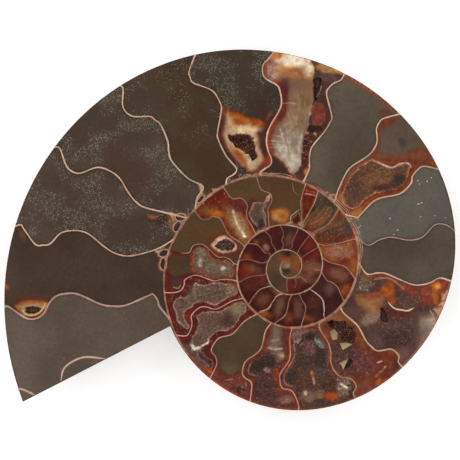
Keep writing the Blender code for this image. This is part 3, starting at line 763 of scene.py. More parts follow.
def paint_bottom(face):
    """Chambers fourteen to sixteen: dark druse, milky calcite and olive mudstone."""
    face.fill("c14", "#583a2e", "#503028", lump=3.5, druse=1.0)
    face.bands("c14", ((0, "#7a3a26"), (0.9, "#6a302a"), (1.6, "#6e4c44"), (2.4, "#543e38")), reach=2.4,
               ripple=0.2)
    face.line("c14", ((21.0, -34.1), (21.2, -37.8), (21.4, -41.5), (20.4, -43.8), (18.5, -46.7),
                      (17.9, -48.6), (18.5, -51.1), (20.6, -51.7)), 0.3, "#a98474", 0.85)
    face.blots("c14",
               (22.9, -34.6, 2.1, 1.8, 0, 1.45, "#7c5e52"), (22.8, -36.8, 1.3, 1.1, 0, 0.6, "#92766a"),
               (26.5, -39.3, 1.6, 2.4, 0, 1.15, "#725048"), (30.0, -42.5, 2.0, 4.2, 8, 1.15, "#3b2e29"),
               (24.8, -43.6, 2.4, 2.4, 0, 1.45, "#463630"), (20.3, -48.6, 2.0, 2.1, 0, 0.9, "#3c3229"),
               (26.4, -35.4, 1.8, 1.1, 0, 1.15, "#332822"))
    face.line("c14", ((24.1, -34.9), (24.0, -36.4), (22.7, -37.9), (21.6, -38.3)), 0.6, "#2a1f1c", breaks=0.3)
    face.blot("c14", (28.5, -47.2), (3.4, 2.4), "#53403a", soft=1.0)
    face.crystals("c14", "#9a7c6c", 170, 141, 0.22, strength=0.45)
    face.crystals("c14", "#241a18", 110, 142, 0.34, strength=0.5)
    green = ((27.9, -36.1), (29.1, -36.1), (30.8, -37.4), (31.1, -38.3), (30.7, -39.3), (29.7, -38.4),
             (28.5, -37.2))
    face.patch("c14", green, ((0, "#8a9480"), (0.5, "#4c6c50"), (1.2, "#3c7a4c")), soft=0.3, ripple=0.3,
               lump=0.8)
    face.line("c14", ((28.3, -36.7), (29.5, -37.2), (30.3, -38.3)), 0.3, "#b4bca8", breaks=0.4)
    face.line("c14", ((32.6, -38.3), (32.7, -40.9), (32.5, -44.1)), 0.63, "#94522a", 0.9, 0.4)
    face.line("c14", ((27.0, -46.9), (27.4, -48.6)), 0.8, "#c8642c", 1.0, 0.25)
    face.line("c14", ((27.5, -48.8), (27.9, -50.9)), 0.6, "#c8946a", 1.0, 0.25)
    face.blots("c14",
               (25.8, -55.1, 2.4, 1.8, -20, 0.6, "#7c6252", 0.3),
               (24.9, -54.1, 0.58, 0.58, 0, 0.9, "#d4b48c"), (29.5, -54.6, 1.6, 1.6, 0, 0.9, "#866350"),
               (33.2, -55.1, 2.6, 1.2, -5, 1.45, "#a8481f", 0.1),
               (28.5, -57.8, 2.9, 0.9, 0, 1.15, "#4a3a34"),
               (37.8, -51.9, 2.4, 2.9, -20, 0.9, "#7c6a5a", 0.5))
    face.crystals("c14", "#c4b49c", 24, 143, 0.3, ((35.6, -48.8), (39.9, -54.9)), 0.6)
    face.line("c14", ((36.8, -51.0), (38.6, -52.2)), 0.7, "#dccab0", 1.0, 0.25)
    face.blot("c14", (39.3, -51.3), (0.44, 0.44), "#14100c", soft=0.6, ripple=0.1)
    face.blot("c14", (40.5, -54.2), (1.0, 1.7), "#3c2e2a", turn=-30, soft=1.15)
    face.rim("c14", 0.47, "#96452c", strength=0.85)

    face.fill("c15", "#5c362c", "#54302a", lump=3.0, druse=0.6)
    face.bands("c15", ((0, "#8c3a1c"), (0.8, "#6e2a1a"), (1.6, "#5a3028")), reach=2.0, ripple=0.2)
    milky = ((13.7, -31.7), (15.3, -31.2), (17.1, -31.7), (17.4, -33.5), (17.2, -36.7), (17.2, -41.7),
             (16.5, -44.0), (15.0, -42.5), (13.7, -40.7), (11.6, -39.9), (12.3, -36.7), (13.2, -34.1))
    face.patch("c15", milky, ((0, "#70422e"), (0.6, "#6a4e40"), (1.6, "#7a6654")), soft=0.5, druse=0.1)
    face.rays("c15", (15.3, -38.8), (2.1, 4.0), (7.4, -38.3), "#a89680", count=30, strength=0.6)
    face.blot("c15", (17.1, -41.7), (0.92, 1.3), "#a88c6c", soft=1.45)
    face.line("c15", ((12.7, -38.9), (14.8, -39.5), (17.1, -39.3)), 0.5, "#b4a48e", breaks=0.3)
    dark = ((6.5, -44.6), (8.7, -42.8), (11.1, -41.7), (13.2, -40.7), (14.5, -42.0), (15.3, -44.3),
            (14.0, -45.9), (11.6, -47.2), (9.2, -47.8), (6.7, -47.2))
    face.patch("c15", dark, ((0, "#6a4a42"), (0.4, "#3e2a24"), (3, "#37251e")), soft=0.4, ripple=0.4,
               lump=1.2, druse=1.0)
    face.line("c15", ((7.0, -44.1), (6.1, -45.9), (6.3, -47.5), (8.2, -48.2)), 0.35, "#b08c6e", 0.8)
    face.blots("c15",
               (12.4, -46.5, 1.1, 0.92, 0, 1.15, "#a08078"), (15.3, -48.0, 1.1, 2.1, 0, 1.15, "#8e3418"),
               (16.4, -53.0, 1.3, 1.3, 0, 1.45, "#7e3a20"),
               (11.9, -52.3, 2.9, 4.2, 0, 1.45, "#523430", 1.0),
               (18.5, -56.2, 2.4, 1.3, 0, 1.15, "#866050", 0.8))
    face.crystals("c15", "#ac9488", 140, 151, 0.23, ((6.6, -40.7), (20.6, -58.8)), 0.45)
    face.crystals("c15", "#241816", 70, 152, 0.34, ((6.6, -41.5), (15.8, -55.1)), 0.55)
    face.rim("c15", 0.63, "#93452f", strength=0.9)

    face.fill("c16", "#55442f", "#4f3d2a", lump=6.0)
    face.blots("c16",
               (9.2, -29.6, 2.1, 1.3, 0, 1.45, "#4a422a"), (-0.2, -46.2, 2.9, 2.1, 0, 1.45, "#5e5236"))
    red = ((-5.3, -41.3), (-4.0, -43.4), (-2.7, -46.6), (-1.0, -48.1), (1.3, -47.5), (3.2, -46.6),
           (4.2, -48.1), (7.0, -50.2), (8.6, -56.5), (-4.0, -54.4), (-8.2, -46.0))
    face.patch("c16", red, ((0, "#4a2a20"), (0.6, "#642e26"), (2.5, "#73382c")), soft=0.9, ripple=0.3,
               druse=0.4)
    face.line("c16", ((-1.6, -49.7), (-0.2, -49.5), (0.8, -49.4)), 0.4, "#a88878", breaks=0.3)
    face.line("c16", ((2.7, -51.5), (4.5, -52.3), (5.4, -51.7), (5.2, -50.9)), 0.4, "#a88878", breaks=0.3)
    face.blot("c16", (3.2, -52.8), (2.4, 1.1), "#4a2c26", soft=1.15, druse=0.9)
    face.crystals("c16", "#a88a80", 24, 161, 0.26, ((-1.6, -48.8), (6.3, -55.1)), 0.6)
    face.rim("c16", 0.68, "#a04c30", strength=0.9)


def paint_left(face):
    """Chambers seventeen to twenty: brown druse inside red bands, and olive mudstone with a vug."""
    red_band = ((0, "#34160f"), (0.4, "#5c1b12"), (1.2, "#641e14"), (1.8, "#4a201a"))
    for name in ("c17", "c18"):
        face.fill(name, "#6a4f44", "#5e463c", lump=3.0, druse=0.9)
    for name in ("c17", "c18"):
        face.bands(name, red_band, reach=3.6, ripple=0.15, druse=0.15)
    druse_17 = ((-11.2, -28.7), (-9.5, -27.3), (-6.9, -27.1), (-4.4, -27.0), (-1.9, -26.4), (0.6, -24.9),
                (3.4, -23.9), (5.1, -24.7), (5.3, -26.4), (3.8, -28.3), (2.1, -30.4), (0.6, -32.5),
                (-1.0, -33.2), (-4.0, -33.7), (-5.5, -34.4), (-6.9, -36.3), (-7.4, -37.5), (-9.5, -38.6),
                (-11.6, -39.3), (-12.8, -37.5), (-12.4, -35.4), (-11.2, -33.3), (-10.5, -31.2))
    line_in = ((0, "#c4a490"), (0.3, "#8a6a5a"), (0.7, "#6a5046"), (3, "#63493f"))
    face.patch("c17", druse_17, line_in, soft=0.2, ripple=0.1, druse=0.9)
    face.blots("c17",
               (2.5, -26.2, 2.3, 1.9, 40, 1.45, "#8a7a5c", 0.3),
               (-0.6, -30.0, 1.9, 2.3, 0, 1.45, "#4c3634"), (-9.5, -32.1, 1.3, 2.5, 0, 1.45, "#70544a"))
    tail = ((-11.6, -39.7), (-10.3, -39.4), (-9.1, -40.7), (-7.4, -42.0), (-5.9, -42.8), (-5.5, -44.3),
            (-6.3, -45.8), (-7.4, -44.5), (-9.1, -43.7), (-10.5, -42.0))
    face.patch("c17", tail, ((0, "#a08478"), (0.4, "#5a342e"), (2, "#4c2a28")), soft=0.3, ripple=0.3,
               druse=0.9)
    face.line("c17", ((-12.6, -38.2), (-12.0, -39.3), (-11.2, -39.2), (-10.1, -39.0)), 1.0, "#f0e0d4",
              soft=0.3)
    face.line("c17", ((-9.4, -38.4), (-8.4, -37.9), (-7.3, -37.2), (-7.2, -36.3)), 0.6, "#ecd4c4", breaks=0.3)
    face.blot("c17", (-6.3, -43.4), (0.34, 0.46), "#1c1210", soft=0.5)
    face.crystals("c17", "#b09486", 110, 171, 0.25, strength=0.5)
    face.rim("c17", 1.0, "#8c4430", strength=0.9)
    face.blot("c17", (-6.9, -46.6), (1.9, 0.84), "#a84a2a", turn=-40, soft=1.45)
    druse_18 = ((-14.5, -22.4), (-12.4, -20.5), (-11.7, -17.3), (-9.3, -18.4), (-6.0, -17.6), (-2.7, -17.6),
                (0.9, -18.1), (2.2, -20.3), (2.3, -19.0), (2.3, -20.9), (-0.2, -22.2), (-2.3, -23.2),
                (-4.6, -24.7), (-6.9, -24.3), (-9.3, -23.6), (-11.2, -24.3), (-12.8, -25.7), (-14.5, -26.6),
                (-15.2, -28.3), (-14.7, -30.0), (-13.5, -31.6), (-14.1, -32.7), (-15.2, -32.5),
                (-16.6, -31.0), (-17.5, -30.0), (-17.9, -27.6), (-18.7, -25.3), (-18.5, -23.9),
                (-16.6, -22.2))
    face.patch("c18", druse_18, line_in, soft=0.2, ripple=0.1, druse=0.9)
    face.blot("c18", (-9.5, -21.3), (4.6, 2.3), "#66533f", soft=1.0, strength=0.7)
    face.blots("c18",
               (0.4, -19.8, 1.9, 1.9, 0, 1.45, "#8a7454"), (-13.7, -28.5, 1.3, 1.7, 0, 0.9, "#7a241a"))
    face.crystals("c18", "#b8a090", 90, 181, 0.25, strength=0.5)
    face.rim("c18", 0.8, "#8a3a28", strength=0.8)

    face.fill("c19", "#533f27", "#4e3826", lump=5.0)
    face.bands("c19", ((0, "#3a1a14"), (0.6, "#6a2418"), (1.4, "#50301e")), reach=1.5)
    pale = ((-12.6, -6.9), (-11.7, -5.8), (-9.3, -5.8), (-7.6, -6.9), (-5.7, -8.8), (-3.8, -9.9),
            (0.0, -10.4), (1.7, -12.1), (1.7, -14.8), (-0.5, -15.9), (-3.8, -15.9), (-7.1, -16.2),
            (-9.3, -14.8), (-12.6, -13.5), (-13.1, -10.2))
    face.patch("c19", pale, ((0, "#7a2c18"), (0.6, "#8a4a2a"), (1.0, "#64503f"), (2.4, "#746050")), soft=0.5,
               ripple=0.25, druse=0.7)
    face.blots("c19",
               (-8.5, -10.7, 1.2, 1.2, 0, 0.9, "#5c4a34"), (-9.7, -10.9, 0.71, 1.4, 0, 1.15, "#b0a290"),
               (-2.3, -12.6, 0.93, 0.6, 0, 1.15, "#b8aca0"), (-9.3, -7.4, 1.9, 1.1, 0, 1.45, "#7c6a56"))
    face.crystals("c19", "#b8aa96", 80, 191, 0.26, ((-12.3, -6.3), (1.4, -15.9)), 0.45)
    face.line("c19", ((-17.2, -7.0), (-15.8, -7.6), (-13.7, -7.6)), 0.4, "#a08a66", 0.8)
    low = ((-20.8, -13.5), (-18.3, -15.4), (-15.6, -14.8), (-13.1, -14.3), (-14.2, -17.0), (-15.6, -18.9),
           (-16.4, -20.6), (-19.1, -21.1), (-20.5, -19.5))
    face.patch("c19", low, ((0, "#5c1c14"), (1.2, "#5a2420"), (2.6, "#4c2c2c")), soft=0.5)
    face.blot("c19", (-17.8, -17.3), (1.9, 1.6), "#4c2e2c", soft=1.15, druse=0.9)
    face.line("c19", ((-18.7, -18.9), (-17.2, -19.3), (-16.4, -18.4)), 0.4, "#a88a74", breaks=0.2)

    face.fill("c20", "#5a4329", "#563e28", lump=6.0)
    face.blots("c20",
               (-10.4, -4.7, 6.8, 1.9, 0, 1.0, "#54442a"), (1.4, -7.4, 3.0, 3.0, 0, 1.45, "#4c3428"))
    ring = ((-6.5, -4.7), (-4.9, -2.8), (-1.9, -1.7), (0.9, -3.3), (2.4, -5.2), (2.0, -6.9), (-0.5, -7.8),
            (-3.2, -7.6), (-5.7, -6.3))
    face.blot("c20", (-1.9, -4.7), (5.5, 3.8), "#6a3220", soft=0.9)
    face.patch("c20", ring, ((0, "#a05a28"), (0.5, "#c8a080"), (1.0, "#d0b09a")), soft=0.4, ripple=0.12)
    face.hollow("c20", ((-4.9, -5.5), (-3.5, -3.9), (-1.6, -3.2), (0.3, -3.9), (1.4, -5.2), (0.6, -6.5),
                        (-1.6, -6.7), (-3.8, -6.3)), 1.8, "#5c4440", "#c4a088", edge=0.3, ripple=0.2)


def paint_upper_whorl(face):
    """Chambers twenty-one to twenty-six, along the top of the second whorl."""
    face.fill("c21", "#642616", "#702c18", lump=3.0)
    face.bands("c21", ((0, "#7a3a20"), (0.7, "#6a2818"), (1.6, "#642414")), reach=1.6)
    face.blots("c21",
               (-5.4, 10.4, 4.7, 2.2, 25, 1.45, "#681f14"), (-7.6, 6.5, 2.5, 1.6, 0, 1.45, "#7c4a26"),
               (-4.9, 5.7, 2.5, 1.4, -20, 1.15, "#a8621e"), (2.5, 7.1, 2.5, 2.7, 0, 1.45, "#602e28"),
               (-0.2, 4.1, 1.6, 4.4, 15, 1.45, "#8a5228"), (5.8, 0.2, 1.4, 4.7, 25, 1.45, "#94481c"),
               (3.1, 1.3, 2.1, 5.2, 30, 1.15, "#ac8a64", 0.4))
    face.line("c21", ((1.0, 6.3), (1.7, 3.5), (2.8, 1.1), (5.0, -2.2)), 0.7, "#dccdb4", soft=0.4, breaks=0.3)
    face.blots("c21",
               (5.0, -2.1, 0.49, 0.49, 0, 0.9, "#f4ecdc"), (5.0, -4.1, 1.1, 1.1, 0, 1.45, "#8a5a24"))
    face.crystals("c21", "#c8986c", 60, 211, 0.25, strength=0.5)
    face.crystals("c21", "#461410", 40, 212, 0.3, strength=0.5)
    face.fill("c22", "#5c462b", "#584026", lump=5.0)
    face.bands("c22", ((0, "#6a4a2c"), (0.6, "#54402a")), reach=0.9)
    face.blot("c22", (8.2, 4.9), (3.2, 5.0), "#50241c", turn=10, soft=0.5)
    grey = ((6.7, 7.3), (7.9, 9.0), (10.0, 9.2), (11.4, 9.0), (12.6, 11.1), (12.3, 9.0), (11.1, 6.7),
            (12.0, 3.7), (11.4, 0.8), (9.4, 0.8), (7.0, 3.4), (6.3, 5.2))
    face.patch("c22", grey, ((0, "#c09684"), (0.35, "#7a5e50"), (1.0, "#5e483c"), (3, "#564238")), soft=0.25,
               ripple=0.1, druse=0.8)
    face.blots("c22",
               (12.6, 10.6, 0.65, 1.5, -25, 0.6, "#c89c84"), (10.3, 1.9, 1.2, 1.5, 0, 1.15, "#362622"))
    face.fill("c23", "#5a4229", "#563c26", lump=5.0)
    face.blots("c23",
               (13.5, 4.3, 0.77, 3.5, 0, 1.15, "#6a341c"), (16.2, 4.7, 3.2, 2.4, -8, 0.9, "#a8682e"),
               (15.3, 4.3, 1.2, 1.2, 0, 1.45, "#c08a52"), (16.4, 5.9, 2.1, 0.65, 0, 1.45, "#c07a28"))
    corner = ((20.4, 3.4), (22.6, 5.8), (23.4, 3.4), (22.9, 1.7), (21.2, 1.9))
    face.patch("c23", corner, ((0, "#a87a58"), (0.5, "#4c1c18")), soft=0.3, ripple=0.1)
    wedge = ((24.1, 13.5), (28.8, 12.3), (28.5, 10.8), (27.1, 7.6), (25.3, 4.3), (24.1, 3.1), (23.5, 6.4),
             (23.5, 10.2))
    face.fill("c26", "#5c4632", "#52402e", lump=3.0, druse=0.3)
    face.fill("c25", "#6c2418", "#7a3020", lump=2.5)
    face.patch("c23 c25", wedge, ((0, "#a8705a"), (0.4, "#6e2a1a"), (1.0, "#5a1a10"), (2.5, "#641e12")),
               soft=0.25, ripple=0.1)
    face.blot("c23 c25", (25.6, 8.7), (1.2, 1.8), "#6e3018", soft=1.45)
    face.line("c23 c25", ((25.0, 12.0), (26.5, 11.8), (28.2, 11.4)), 0.5, "#c07a68", breaks=0.2)
    face.blots("c26",
               (31.2, 8.1, 3.5, 2.4, -20, 1.45, "#40382e"), (27.7, 6.1, 1.2, 1.5, 0, 1.45, "#2a2620"),
               (33.0, 9.9, 1.5, 0.88, -35, 1.45, "#46342a"), (28.0, 2.5, 4.4, 2.7, 25, 1.45, "#6a4228"))
    septum = ((34.6, 5.6), (33.4, 3.6), (31.1, 1.4), (27.0, -0.4))
    layers = ((0.6, "#4a2416"), (1.2, "#b87838"), (1.9, "#8a5430"), (2.6, "#b8865c"), (3.3, "#84502c"),
              (4.0, "#a87240"), (4.8, "#5c3c28"), (5.6, "#94683c"))
    for shift, colour in layers:
        path = [(x - 0.75 * shift, y + 0.65 * shift) for x, y in septum]
        face.line("c26", path, 0.55, colour, 0.65, soft=0.4, breaks=0.6)
    face.blot("c26", (25.6, 0.8), (1.5, 1.2), "#5e2816", soft=1.45)
    face.crystals("c26", "#b08458", 40, 251, 0.24, strength=0.6)


def paint_right_whorl(face):
    """Chambers twenty-seven to thirty-one, down the right of the second whorl."""
    face.fill("c27", "#5e3c2a", "#523022", lump=2.5, druse=0.4)
    face.bands("c27", ((0, "#8a4a2c"), (0.7, "#7a3420"), (1.4, "#6a3a28")), reach=1.6)
    face.rays("c27", (34.4, 0.8), (5.0, 3.8), (27.1, -2.8), "#8a6a50", count=12, strength=0.4)
    face.blots("c27",
               (39.2, 1.4, 1.5, 2.7, 0, 1.45, "#4c3e34"), (33.6, -3.1, 4.4, 1.1, 0, 1.45, "#66301f"))
    face.crystals("c27", "#b09070", 50, 261, 0.28, strength=0.5)
    face.fill("c28", "#8c4a28", "#7c3a20", lump=3.0)
    face.bands("c28", ((0, "#6a2c1c"), (0.8, "#8a4424")), reach=1.2)
    face.blots("c28",
               (36.2, -7.2, 4.4, 2.2, 0, 1.15, "#9a6a50", 0.3), (30.9, -6.3, 1.2, 1.2, 0, 1.45, "#a05f24"),
               (38.6, -10.4, 2.7, 1.2, -20, 1.45, "#74301c"), (40.9, -11.9, 1.2, 2.4, 0, 1.15, "#9c5a22"))
    face.crystals("c28", "#c89c84", 36, 271, 0.26, ((31.8, -4.5), (40.0, -9.9)), 0.5)
    face.fill("c29", "#58241c", "#4c1e1a", lump=3.0)
    face.bands("c29", ((0, "#7c4030"), (0.6, "#5c241c")), reach=0.9)
    face.blots("c29",
               (35.9, -14.6, 2.9, 2.1, -20, 1.45, "#7e5240"), (38.3, -19.9, 1.5, 1.8, -15, 1.45, "#92481e"))
    face.fill("c30", "#42201e", "#381a1a", lump=3.0)
    face.blot("c30", (33.0, -19.6), (1.8, 1.8), "#624840", soft=1.45)
    face.fill("c31", "#42201c", "#3a1a18", lump=3.0)
    face.blot("c31", (28.0, -24.0), (2.1, 2.4), "#542820", soft=1.45)


def paint_maroon(face):
    """The small chambers of the inner whorls: glassy maroon calcite with orange glints."""
    glass = ((0, "#6a3222"), (0.35, "#4c1c14"), (0.9, "#3c1713"), (2.0, "#441d18"), (3.5, "#503028"))
    names = [f"c{k}" for k in range(32, 44)]
    face.bands(" ".join(names), glass, ripple=0.15)
    glints = (
        ("c32", 22.6, -26.1, 1.2, 2.7, "#704c42", 5), ("c32", 19.4, -29.3, 1.2, 1.5, "#8a4218", 0),
        ("c31", 25.6, -29.3, 1.8, 1.1, "#8c4420", 0), ("c33", 16.4, -25.5, 1.2, 3.5, "#7a5640", -10),
        ("c33", 11.4, -27.6, 1.8, 1.2, "#a05520", -20), ("c34", 11.1, -22.8, 1.8, 1.8, "#74442e", 30),
        ("c34", 16.2, -20.5, 1.8, 0.88, "#86481e", -20), ("c35", 7.0, -18.1, 2.7, 1.8, "#5c2420", 10),
        ("c35", 10.8, -16.6, 1.2, 1.5, "#6a3020", 0), ("c35", 13.2, -18.1, 0.88, 0.77, "#94702c", 0),
        ("c36", 8.2, -13.0, 2.4, 1.2, "#7c4a34", -20), ("c36", 4.6, -14.0, 1.8, 2.1, "#7c2a18", 0),
        ("c37", 6.1, -8.7, 1.5, 1.5, "#8a3e1a", 0), ("c37", 9.4, -7.5, 2.7, 1.5, "#401410", 0),
        ("c38", 10.8, -4.0, 2.1, 1.8, "#54241c", 20), ("c38", 8.8, -4.0, 0.88, 0.88, "#7c5220", 0),
        ("c38", 12.0, -5.9, 0.77, 0.77, "#a07860", 0), ("c39", 15.0, -1.6, 2.1, 2.1, "#481c16", 0),
        ("c40", 19.4, -2.8, 1.1, 2.4, "#6e4c34", -15), ("c40", 18.8, -0.1, 1.8, 0.88, "#2e2a24", 0),
        ("c41", 23.5, -3.4, 2.1, 2.7, "#4c1a16", 0), ("c42", 26.5, -5.1, 2.1, 2.1, "#6c241a", 0),
        ("c43", 28.0, -8.4, 1.8, 1.5, "#742a1c", 20), ("c43", 27.4, -12.5, 2.7, 1.8, "#8c5c40", 0),
        ("c43", 25.9, -15.8, 2.4, 1.5, "#7c4a38", -20),
    )
    for name, x, y, along, across, colour, turn in glints:
        face.blot(name, (x, y), (along * 1.15, across * 1.15), colour, turn, 1.6, 0.25, strength=0.8)
    face.rays("c43", (27.1, -12.2), (3.2, 2.1), (22.3, -12.2), "#c0987c", count=14, strength=0.6)


def paint_first_whorl(face):
    """The oldest whorl, cut close to its middle: grey-olive and amber with a bright centre."""
    face.blot("all", (17.9, -14.0), (5.5, 7.1), "#5a402a", soft=0.1, ripple=0.02)
    face.blots("all",
               (20.9, -10.4, 3.2, 3.5, 0, 0.9, "#744422"), (22.3, -11.6, 1.5, 2.9, 0, 1.15, "#8a5028"),
               (17.6, -9.6, 1.5, 1.5, 0, 1.15, "#983f18"), (18.8, -7.8, 1.2, 0.88, 0, 1.15, "#2c251c"),
               (15.3, -12.2, 2.7, 3.2, 0, 1.45, "#604832"), (15.3, -16.9, 2.7, 2.7, 30, 1.45, "#4c3a2a"),
               (20.9, -15.2, 2.7, 0.88, 0, 1.45, "#6a4c34"), (20.9, -18.7, 2.2, 2.4, 0, 0.6, "#5e2416"))
    face.line("all", ((21.5, -15.8), (21.9, -17.5), (21.6, -19.0)), 0.3, "#8c5c48")
    face.line("all", ((19.0, -16.0), (18.8, -18.1), (19.0, -20.2)), 0.35, "#86644e")
    face.line("all", ((19.0, -16.0), (21.2, -15.8), (23.5, -15.6), (25.3, -17.2)), 0.35, "#906c54")
    face.blots("all",
               (18.8, -11.6, 1.5, 1.5, 0, 1.15, "#84694f"), (19.3, -11.9, 0.59, 0.59, 0, 1.45, "#9c8470"),
               (18.5, -13.7, 1.3, 0.88, 0, 1.15, "#3a3024"))
    for angle in range(0, 360, 12):
        outward = np.array((math.cos(math.radians(angle)), math.sin(math.radians(angle))))
        near, far = (np.array((18.1, -12.2)) + reach * outward for reach in (3.2, 5.0))
        face.line("all", (near, (near + far) / 2 + 0.15, far), 0.2, "#3e2c20", 0.5, breaks=0.4)
    face.line("all", ((17.3, -10.4), (16.7, -12.2), (17.2, -14.3)), 0.3, "#a8a08e", breaks=0.2)


def paint_joints(face):
    """Chips and fillets of pale calcite where septa meet the wall, and the bubbles beside it."""
    chips = (
        ((-21.1, 5.7), (-18.0, 5.6), (-15.6, 5.2), (-18.0, 4.1), (-18.7, 1.9), (-19.4, 4.1)),
        ((-10.9, 15.8), (-9.0, 14.8), (-8.9, 12.0), (-9.8, 12.0), (-10.1, 13.7)),
        ((-25.2, -6.3), (-23.0, -6.1), (-21.1, -5.2), (-23.0, -6.9), (-23.5, -8.8), (-24.3, -8.0)),
        ((-6.4, 13.9), (-4.3, 13.8), (-4.9, 12.8), (-5.6, 12.8)),
        ((4.8, 18.6), (6.3, 18.3), (6.1, 17.8), (5.2, 17.9)),
        ((9.1, 0.5), (10.5, 0.0), (12.3, 1.1), (12.9, 0.2), (9.4, -1.3), (8.5, -1.6)),
        ((17.6, 1.9), (20.0, 2.8), (20.9, 1.9), (18.2, 1.7)),
        ((22.3, 2.2), (23.8, 3.4), (24.7, 0.5), (22.9, 1.4)),
        ((26.5, -1.2), (28.0, -1.0), (28.2, -2.5), (27.2, -1.9)),
        ((39.5, 5.8), (40.8, 4.3), (43.3, 4.6), (41.6, 3.7)),
    )
    for outline in chips:
        face.patch("all", outline, ((0, "#8a5838"), (0.4, "#b48c70")), soft=0.3, ripple=0.12)
    face.line("all", [polar(angle, wall_radius(angle) + 0.7) for angle in range(492, 586, 8)], 1.7,
              "#5a3c2c", 0.85, breaks=0.2)
    for at, size, turn in BUBBLES:
        face.blot("all", at, (size[0] + 0.6, size[1] + 0.6), "#85553a", turn, 0.4, 0.1)
        face.blot("all", at, size, "#2f2822", turn, 0.2, 0.05)
    random = np.random.default_rng(77)
    for angle in random.uniform(440, 575, 60):
        at = polar(angle, wall_radius(angle) + random.uniform(0.4, 1.3))
        reach = random.uniform(0.15, 0.4)
        colour = random.choice(("#b8947c", "#9c7058", "#5c3e30"))
        face.blot("all", at, (reach, reach * 0.6), colour, angle, 0.5, 0.3, 0.6)


def paint_chambers(face):
    """Paint everything, from the mouth inwards."""
    steps = (
        paint_mudstone, paint_lens, paint_fifth, paint_sixth, paint_right, paint_lower_right, paint_bottom,
        paint_left, paint_upper_whorl, paint_right_whorl, paint_maroon, paint_first_whorl, paint_joints,
    )
    for paint in steps:
        paint(face)
    face.finish()


# ----------------------------------------------------------------------------- meshes


def hex_grid(low, high, step, seed):
    """Slightly shaken hexagonal grid of points in a box."""
    columns = int((high[0] - low[0]) / step) + 2
    rows = int((high[1] - low[1]) / (step * ROW)) + 2
    column, row = np.meshgrid(np.arange(columns), np.arange(rows))
    across, up = low[0] + (column + 0.5 * (row % 2)) * step, low[1] + row * step * ROW
    grid = np.stack((across, up), -1).reshape(-1, 2)
    shake = np.random.default_rng(seed).uniform(-0.12, 0.12, grid.shape)
    return grid + shake * step


def triangulate(loops, grid, keep):
    """Triangles of the region that keep() accepts, between closed loops and loose points."""
    points = np.concatenate([*loops, grid])
    edges, start = [], 0
    for loop in loops:
        count = len(loop)
        edges += [(start + k, start + (k + 1) % count) for k in range(count)]
        start += count
    result = delaunay_2d_cdt([Vector(p) for p in points], edges, [], 0, 1e-7, True)
    flat = np.array([tuple(v) for v in result[0]])
    faces = np.array([tuple(f) for f in result[2]])
    a, b, c = (flat[faces[:, k]] for k in range(3))
    turned = (b[:, 0] - a[:, 0]) * (c[:, 1] - a[:, 1]) - (b[:, 1] - a[:, 1]) * (c[:, 0] - a[:, 0]) < 0
    faces[turned] = faces[turned][:, ::-1]
    return flat, faces[keep((a + b + c) / 3)]


def clear_of(loops, grid, gap):
    """The points of a grid that are further than the gap from every loop."""
    return grid[distance_to(loops, grid) > gap]


def make_object(name, verts, faces, material):
    """Mesh object from vertices in millimetres."""
    mesh = bpy.data.meshes.new(name)
    mesh.from_pydata((np.asarray(verts) * MM).tolist(), [], [tuple(int(k) for k in f) for f in faces])
    mesh.materials.append(material)
    mesh.update()
    result = bpy.data.objects.new(name, mesh)
    bpy.context.scene.collection.objects.link(result)
    return result


def turn_out(piece):
    """Make every face of a closed piece look outwards."""
    mesh = bmesh.new()
    mesh.from_mesh(piece.data)
    bmesh.ops.recalc_face_normals(mesh, faces=mesh.faces)
    mesh.to_mesh(piece.data)
    mesh.free()


def add_colours(piece, name, values):
    """Store a linear colour at every vertex."""
    layer = piece.data.color_attributes.new(name, "FLOAT_COLOR", "POINT")
    full = np.concatenate((values, np.ones((len(values), 1))), axis=1).astype(np.float32)
    layer.data.foreach_set("color", full.ravel())


def finish_piece(piece, sharp=35):
    """Smooth shading with sharp edges above an angle in degrees, and the piece's place in the frame."""
    piece.data.shade_smooth()
    piece.data.set_sharp_from_angle(angle=math.radians(sharp))
    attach(piece, "root")
    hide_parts("ammonite_half")


def outline_loop(step):
    """Outline of the whole fossil: once round the rim, and out again along the straight break."""
    rim = wall_curve(0, TURN, step, rim_radius)
    count = int((RIM_RADII[0] - RIM_RADII[-1]) / step)
    edge = polar(np.zeros(count), np.linspace(RIM_RADII[-1], RIM_RADII[0], count + 1)[:-1])
    return np.concatenate((rim[:-1], edge))


def inner_loop(step):
    """Outline of the inner whorls: one turn of the wall, and a short step outwards to its start."""
    wall = wall_curve(INNER_START, INNER_START + TURN, step)
    ends = wall_radius((INNER_START + TURN, INNER_START))
    count = int((ends[1] - ends[0]) / step)
    return np.concatenate((wall, polar(np.full(count - 1, INNER_START), np.linspace(*ends, count + 1)[1:-1])))


def dish(loops, keep):
    """Hidden surface under the face: it starts at the edge of the piece and deepens inwards."""
    grid = hex_grid(loops[0].min(0), loops[0].max(0), DISH_STEP, 3)
    grid = clear_of(loops, grid[keep(grid)], 1.5)
    flat, faces = triangulate(loops, grid, keep)
    depth = FACE_EDGE + np.minimum(FACE_FLOOR - FACE_EDGE, DISH_SLOPE * distance_to(loops, flat))
    return np.column_stack((flat, FACE - depth)), faces


def floor_at(sunk, at):
    """Depth of the painted face at a point, below zero in a hollow."""
    tree, levels = sunk
    return levels[tree.find((at[0], at[1], 0))[1]]


